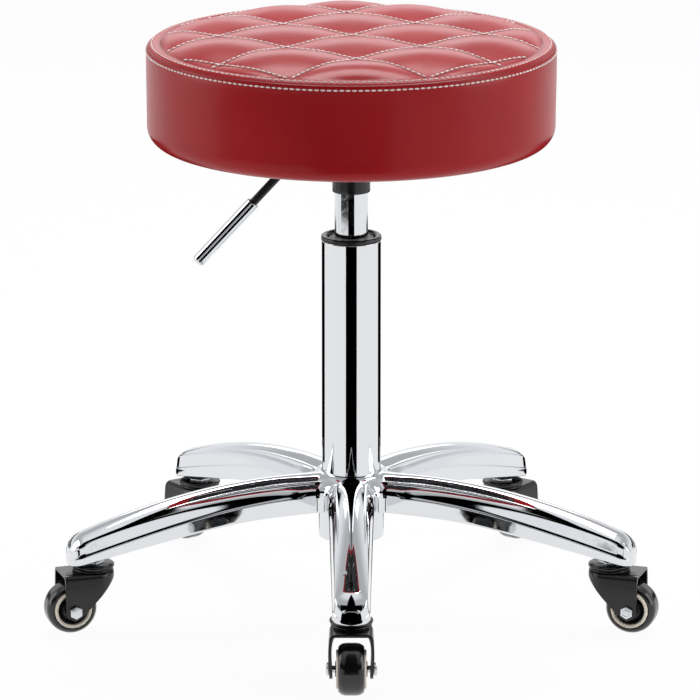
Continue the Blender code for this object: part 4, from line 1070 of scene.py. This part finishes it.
def fork_mesh(sheet):
    """The pressed fork: one sheet bent over the crown, with cheeks that narrow to the axle."""
    top, wide, back, front = 0.0530, 0.0178, -0.0162, 0.0285
    axle = Vector((0.0203, 0.0215))
    end = 0.0082
    shoulder = 0.0050
    start = Vector((back, 0.0475))
    reach = axle - start
    tangent_angle = atan2(reach.y, reach.x) - atan2(end, sqrt(reach.length ** 2 - end ** 2))
    touch = axle + end * Vector((cos(tangent_angle - pi / 2), sin(tangent_angle - pi / 2)))
    low = axle.y - end * 0.995

    def limits(z):
        front_x = front if z >= axle.y else axle.x + sqrt(max(0.0, end ** 2 - (z - axle.y) ** 2))
        if z >= start.y:
            back_x = back
        elif z >= touch.y:
            back_x = between(touch.x, back, (z - touch.y) / (start.y - touch.y))
        else:
            back_x = axle.x - sqrt(max(0.0, end ** 2 - (z - axle.y) ** 2))
        return back_x, front_x

    # Up one cheek, round its shoulder and over half the crown, then the same mirrored
    cheek, curve, crown, depth = 22, 8, 8, 24
    path = [(wide, between(low, top - shoulder, (i / cheek) ** 0.8)) for i in range(cheek)]
    for i in range(curve):
        angle = pi / 2 * i / curve
        path.append((wide - shoulder + shoulder * cos(angle), top - shoulder + shoulder * sin(angle)))
    path += [((wide - shoulder) * (1 - i / crown), top) for i in range(crown + 1)]
    path += [(-y, z) for y, z in path[-2::-1]]

    def place(i, j):
        y, z = path[i]
        back_x, front_x = limits(z)
        x = between(back_x, front_x, j / depth)
        plan = sqrt(max(0.12, 1 - (min(0.0, x) / wide) ** 2)) if x < 0 else 1.0
        bulge = 1 + 0.05 * ramp(z, 0.016, 0.034) * (1 - ramp(z, 0.036, 0.052)) * ramp(x, -0.018, 0.004)
        return Vector((x, y * plan * bulge, z))

    bm = bmesh.new()
    grid_skin(bm, len(path), depth + 1, place)
    bmesh.ops.recalc_face_normals(bm, faces=bm.faces)
    highest = max(bm.faces, key=lambda f: f.calc_center_median().z - abs(f.calc_center_median().y))
    if highest.normal.z < 0:
        bmesh.ops.reverse_faces(bm, faces=bm.faces)
    mesh = bpy.data.meshes.new("fork")
    bm.to_mesh(mesh)
    bm.free()
    blank = bpy.data.objects.new("fork", mesh)
    bpy.context.scene.collection.objects.link(blank)
    solid = blank.modifiers.new("sheet", "SOLIDIFY")
    solid.thickness, solid.offset, solid.use_even_offset = sheet, -1.0, True
    soft = blank.modifiers.new("edges", "BEVEL")
    soft.width, soft.segments, soft.limit_method, soft.angle_limit = 0.0006, 2, "ANGLE", radians(50)
    graph = bpy.context.evaluated_depsgraph_get()
    baked = bpy.data.meshes.new_from_object(blank.evaluated_get(graph))
    bpy.data.objects.remove(blank)
    bpy.data.meshes.remove(mesh)
    return baked


def wheel_profiles():
    """Profiles about the axle, as (radius, distance along the axle, setback)."""
    outer, half, rim = 0.0215, 0.01075, 0.0163
    tyre = [
        (rim, half - 0.0006, 0.0004), (rim + 0.0008, half, 0.0006), (outer - 0.0026, half - 0.0003, 0.0022),
        (outer, half - 0.0042, 0.0030),
    ]
    lip = 0.0123
    ring = [
        (0.0131, lip - 0.0010, 0.0005), (0.0136, lip, 0.0006), (0.0156, lip, 0.0007),
        (0.0160, lip - 0.0012, 0.0004),
    ]
    bore, web = 0.0032, 0.0066
    centre = [
        (bore, 0.0131, 0.0002), (0.0065, 0.0131, 0.0006), (0.0068, web, 0.0008), (0.0100, web, 0.0014),
        (0.0118, 0.0090, 0.0006), (0.0130, 0.0095, 0.0004),
    ]
    return [mirrored(profile) for profile in (tyre, ring, centre)]


def hexagonal(name, head, profile=None, closed=True):
    """A hexagon of (across, low, high, edge), with a turned part on it."""
    bm = bmesh.new()
    prism(bm, *head)
    if profile:
        spin(bm, profile, closed, 24)
    return mesh_from(bm, name)


class STOOL_OT_casters(bpy.types.Operator):
    """Makes the five swivel casters"""
    bl_idname = "stool.casters"
    bl_label = "Casters"

    def execute(self, context):
        look = finishes()
        on_axle = Matrix.Translation((0.0203, 0, 0.0215)) @ Matrix.Rotation(-pi / 2, 4, "X")
        in_place = Matrix()
        profiles = wheel_profiles()
        tyre = turned("tyre", profiles[0])
        ring = turned("ring", profiles[1], steps=64)
        centre = turned("centre", profiles[2], steps=48)
        # From the stem's top, down round the flange and the crown's underside to the riveted end
        flange = turned("flange", [
            (0.0, 0.0805), (0.0046, 0.0805, 0.0006), (0.0055, 0.0796, 0.0006), (0.0055, 0.0590),
            (0.0090, 0.0590), (0.0150, 0.0587, 0.0010), (0.0176, 0.0580, 0.0012), (0.0180, 0.0564, 0.0008),
            (0.0176, 0.0552, 0.0005), (0.0140, 0.0550), (0.0140, 0.0533), (0.0047, 0.0533),
            (0.0047, 0.0492), (0.0075, 0.0492, 0.0004), (0.0066, 0.0470, 0.0010), (0.0, 0.0466),
        ], False, 64)
        race = turned("race", [
            (0.0146, 0.0532), (0.0170, 0.0532, 0.0003), (0.0168, 0.0545, 0.0007), (0.0146, 0.0547, 0.0002),
        ], True, 64)
        shank = [(0.0, 0.0190), (0.0029, 0.0190), (0.0029, -0.0207, 0.0004), (0.0, -0.0210)]
        washer = [
            (0.0031, -0.0180, 0.0002), (0.0046, -0.0180), (0.0044, -0.0204, 0.0004),
            (0.0031, -0.0204, 0.0003),
        ]
        hexagon = hexagonal("hexagon", (0.0170, 0.0584, 0.0602, 0.0004))
        bolt = hexagonal("bolt", (0.0100, 0.0181, 0.0210, 0.0005), shank, False)
        nut = hexagonal("nut", (0.0100, -0.0202, -0.0181, 0.0004), washer)
        fork = fork_mesh(context.scene.stool_casters.sheet)
        kinds = (
            ("caster_flange", flange, in_place, "enamel", "base", "caster_stem", "black_steel"),
            ("caster_hexagon", hexagon, in_place, "zinc", "base", None, "zinc_steel"),
            ("caster_race", race, in_place, "enamel", "caster_{}", None, "black_steel"),
            ("fork_pressing", fork, in_place, "enamel", "caster_{}", "caster_fork", "black_steel"),
            ("wheel_bolt", bolt, on_axle, "zinc", "caster_{}", "axle_bolt", "zinc_steel"),
            ("wheel_nut", nut, on_axle, "zinc", "caster_{}", "axle_nut", "zinc_steel"),
            ("wheel_tyre", tyre, on_axle, "tyre", "wheel_{}", "caster_tyre", "tyre"),
            ("wheel_ring", ring, on_axle, "ring", "wheel_{}", "wheel_core", "cream_nylon"),
            ("wheel_centre", centre, on_axle, "plastic", "wheel_{}", None, "black_plastic"),
        )
        for number, place in caster_places():
            for name, mesh, local, finish, body, node, slot in kinds:
                replaced = (f"{node}_{number}",) if node else ()
                made = copy_at(mesh, f"{name}_{number}", place @ local)
                piece(f"{name}_{number}", made, look[finish], body.format(number), replaced, slot)
        return {"FINISHED"}


# The stage

def card(name, inner, outer, low, high, height, material):
    """A flat card just over the floor, between two angles from the front. Only reflections see it."""
    def place(i, j):
        turn = Matrix.Rotation(between(low, high, i / 12) - pi / 2, 3, "Z")
        return COLUMN + turn @ Vector((between(inner, outer, j), 0, height))

    bm = bmesh.new()
    grid_skin(bm, 13, 2, place)
    made = bpy.data.objects.new(name, mesh_from(bm, name))
    made.data.materials.append(material)
    bpy.context.scene.collection.objects.link(made)
    made.visible_camera = made.visible_diffuse = made.visible_shadow = False


def lamp(name, azimuth, elevation, distance, size, watts, aim=0.35):
    """A soft box that faces the stool. Azimuth 0 is the camera's side, and positive is to its right."""
    light = bpy.data.lights.new(name, "AREA")
    light.shape, light.size, light.size_y, light.energy = "RECTANGLE", size[0], size[1], watts
    made = bpy.data.objects.new(name, light)
    bpy.context.scene.collection.objects.link(made)
    a, e = radians(azimuth), radians(elevation)
    away = Vector((sin(a) * cos(e), -cos(a) * cos(e), sin(e)))
    target = COLUMN + Vector((0, 0, aim))
    made.location = target + away * distance
    made.rotation_euler = away.to_track_quat("Z", "Y").to_euler()
    made.visible_camera = False
    return made


def studio_world():
    """A white studio: reflections see it with dark flags, and matt surfaces get an even light."""
    world = bpy.data.worlds.new("studio")
    bpy.context.scene.world = world
    world.use_nodes = True
    tree = world.node_tree
    tree.nodes.clear()
    way = add_node(tree, "TexCoord").outputs["Generated"]
    axes = add_node(tree, "SeparateXYZ", {"Vector": way}).outputs
    toward = add_node(tree, "Math", {0: axes["Y"], 1: -1.0}, operation="MULTIPLY").outputs[0]
    azimuth = add_node(tree, "Math", {0: axes["X"], 1: toward}, operation="ARCTAN2").outputs[0]
    aside = add_node(tree, "Math", {0: azimuth}, operation="ABSOLUTE").outputs[0]

    def band(value, start, end, to=(0.0, 1.0)):
        return remap(tree, value, (start, end), to, interpolation_type="SMOOTHSTEP")

    def within(value, a, b, c, d):
        """0 up to a, 1 from b to c, and 0 again from d on."""
        return times(band(value, a, b), band(value, c, d, (1.0, 0.0)))

    def times(a, b):
        return add_node(tree, "Math", {0: a, 1: b}, operation="MULTIPLY").outputs[0]

    # Dark straight in front, and low behind at both sides
    front = band(aside, radians(20), radians(25))
    back = within(aside, radians(120), radians(126), radians(162), radians(168))
    low = band(axes["Z"], 0.12, 0.20, (1.0, 0.0))
    flags = add_node(tree, "Math", {0: 1.0, 1: times(back, low)}, operation="SUBTRACT").outputs[0]
    # A dark ceiling edge in front, which every rounded edge of the chrome shows as a thin black line
    ahead = band(aside, radians(95), radians(110), (1.0, 0.0))
    edge = within(axes["Z"], 0.14, 0.19, 0.50, 0.58)
    ceiling = add_node(tree, "Math", {0: 1.0, 1: times(ahead, edge)}, operation="SUBTRACT").outputs[0]
    # Dimmer all round between the walls and the ceiling
    upper = within(axes["Z"], 0.25, 0.60, 0.75, 0.97)
    dim = add_node(tree, "Math", {0: upper, 1: -0.45, 2: 1.0}, operation="MULTIPLY_ADD").outputs[0]
    seen = times(times(times(front, flags), ceiling), dim)
    rays = add_node(tree, "LightPath").outputs
    reflected = add_node(tree, "Background", {"Color": rgba(linear("#F7F8FA")), "Strength": seen})
    lit = add_node(tree, "Background", {"Color": rgba(linear("#FFFFFF")), "Strength": 0.36})
    plain = add_node(tree, "Background", {"Color": rgba(linear("#FFFFFF")), "Strength": 1.0})

    def choose(ray, without, met):
        return add_node(tree, "MixShader", {0: rays[ray], 1: without.outputs[0], 2: met.outputs[0]})

    final = choose("Is Camera Ray", choose("Is Glossy Ray", lit, reflected), plain)
    add_node(tree, "OutputWorld", {"Surface": final.outputs[0]})


def floor_material(tone):
    """Painted studio floor: white to the camera and to reflections, with a faint shadow of the stool."""
    made, tree, shader, _ = new_material("studio floor, matt paint", Base_Color=rgba(tone), Roughness=0.9)
    rays = add_node(tree, "LightPath").outputs
    seen = rays["Is Camera Ray"]
    for other in ("Is Glossy Ray", "Is Transmission Ray"):
        seen = add_node(tree, "Math", {0: seen, 1: rays[other]}, operation="MAXIMUM").outputs[0]
    share = add_node(tree, "Math", {0: seen, 1: 0.95}, operation="MULTIPLY").outputs[0]
    glow = add_node(tree, "Emission", {"Color": rgba(linear("#FFFFFF")), "Strength": 1.0}).outputs[0]
    mixed = add_node(tree, "MixShader", {0: share, 1: shader.outputs[0], 2: glow})
    tree.links.new(mixed.outputs[0], tree.nodes["Material Output"].inputs["Surface"])
    return made


class STOOL_OT_stage(bpy.types.Operator):
    """Makes the camera, floor, lamps and studio round the stool"""
    bl_idname = "stool.stage"
    bl_label = "Stage"

    def execute(self, context):
        scene, stage = context.scene, context.scene.stool_stage
        scene.view_settings.view_transform = "Standard"
        lens = bpy.data.cameras.new("camera")
        lens.sensor_width, lens.sensor_fit, lens.lens = 36.0, "HORIZONTAL", stage.focal
        lens.shift_x = -1.3 / 700
        lens.clip_end = 100.0
        camera = bpy.data.objects.new("camera", lens)
        scene.collection.objects.link(camera)
        camera.location = COLUMN + Vector((0, -stage.distance, stage.height))
        away = camera.location - (COLUMN + Vector((0, 0, stage.aim)))
        camera.rotation_euler = away.to_track_quat("Z", "Y").to_euler()
        scene.camera = camera

        bm = bmesh.new()
        bmesh.ops.create_grid(bm, x_segments=2, y_segments=2, size=12.0)
        bmesh.ops.translate(bm, verts=bm.verts, vec=(0, 0, -0.0001))
        mesh = bpy.data.meshes.new("floor")
        bm.to_mesh(mesh)
        bm.free()
        mesh.materials.append(floor_material(list(stage.floor)))
        floor = bpy.data.objects.new("floor", mesh)
        scene.collection.objects.link(floor)

        felt = {"Base_Color": rgba(linear("#000000")), "Roughness": 1.0, "Specular_IOR_Level": 0.0}
        black = new_material("black felt flag", **felt)[0]
        for name, inner, outer, low, high, height in (
            ("flag_front", 0.42, 2.6, -21, 21, 0.002), ("flag_back_right", 0.45, 1.5, 126, 165, 0.002),
            ("flag_back_left", 0.45, 1.5, -165, -126, 0.002), ("flag_front_left", 1.6, 3.2, -76, -12, 0.003),
        ):
            card(name, inner, outer, radians(low), radians(high), height, black)
        studio_world()
        lamp("soft_box_left", -92, 16, 2.2, (1.3, 1.6), 13.0)
        lamp("soft_box_right", 78, 16, 2.2, (1.3, 1.6), 15.0)
        lamp("soft_box_above", 170, 66, 2.4, (1.8, 1.2), 52.0)
        lamp("strip_behind", 180, 15, 2.4, (1.6, 0.5), 3.0, 0.5)
        return {"FINISHED"}


class STOOL_PT_panel(bpy.types.Panel):
    """Lists the pieces of the stool and their settings"""
    bl_label = "Rolling stylist stool"
    bl_idname = "STOOL_PT_panel"
    bl_space_type = "VIEW_3D"
    bl_region_type = "UI"
    bl_category = "Stool"

    def draw(self, context):
        for operator in OPERATORS:
            self.layout.operator(operator.bl_idname)
        for name, group in GROUPS:
            box = self.layout.box()
            box.label(text=name.replace("stool_", "").title())
            for key in group.__annotations__:
                box.prop(getattr(context.scene, name), key)


GROUPS = (
    ("stool_seat", SeatSettings), ("stool_lift", LiftSettings), ("stool_base", BaseSettings),
    ("stool_casters", CasterSettings), ("stool_stage", StageSettings),
)
OPERATORS = (
    STOOL_OT_stage, STOOL_OT_base, STOOL_OT_casters, STOOL_OT_gas_lift, STOOL_OT_lever, STOOL_OT_underside,
    STOOL_OT_cushion,
)


def register():
    for name, group in GROUPS:
        bpy.utils.register_class(group)
        setattr(bpy.types.Scene, name, bpy.props.PointerProperty(type=group))
    for operator in OPERATORS:
        bpy.utils.register_class(operator)
    bpy.utils.register_class(STOOL_PT_panel)


def unregister():
    bpy.utils.unregister_class(STOOL_PT_panel)
    for operator in reversed(OPERATORS):
        bpy.utils.unregister_class(operator)
    for name, group in reversed(GROUPS):
        delattr(bpy.types.Scene, name)
        bpy.utils.unregister_class(group)


def main():
    register()
    for operator in OPERATORS:
        group, name = operator.bl_idname.split(".")
        if getattr(getattr(bpy.ops, group), name)() != {"FINISHED"}:
            raise RuntimeError(f"{operator.bl_label} didn't finish")


if __name__ == "__main__":
    main()
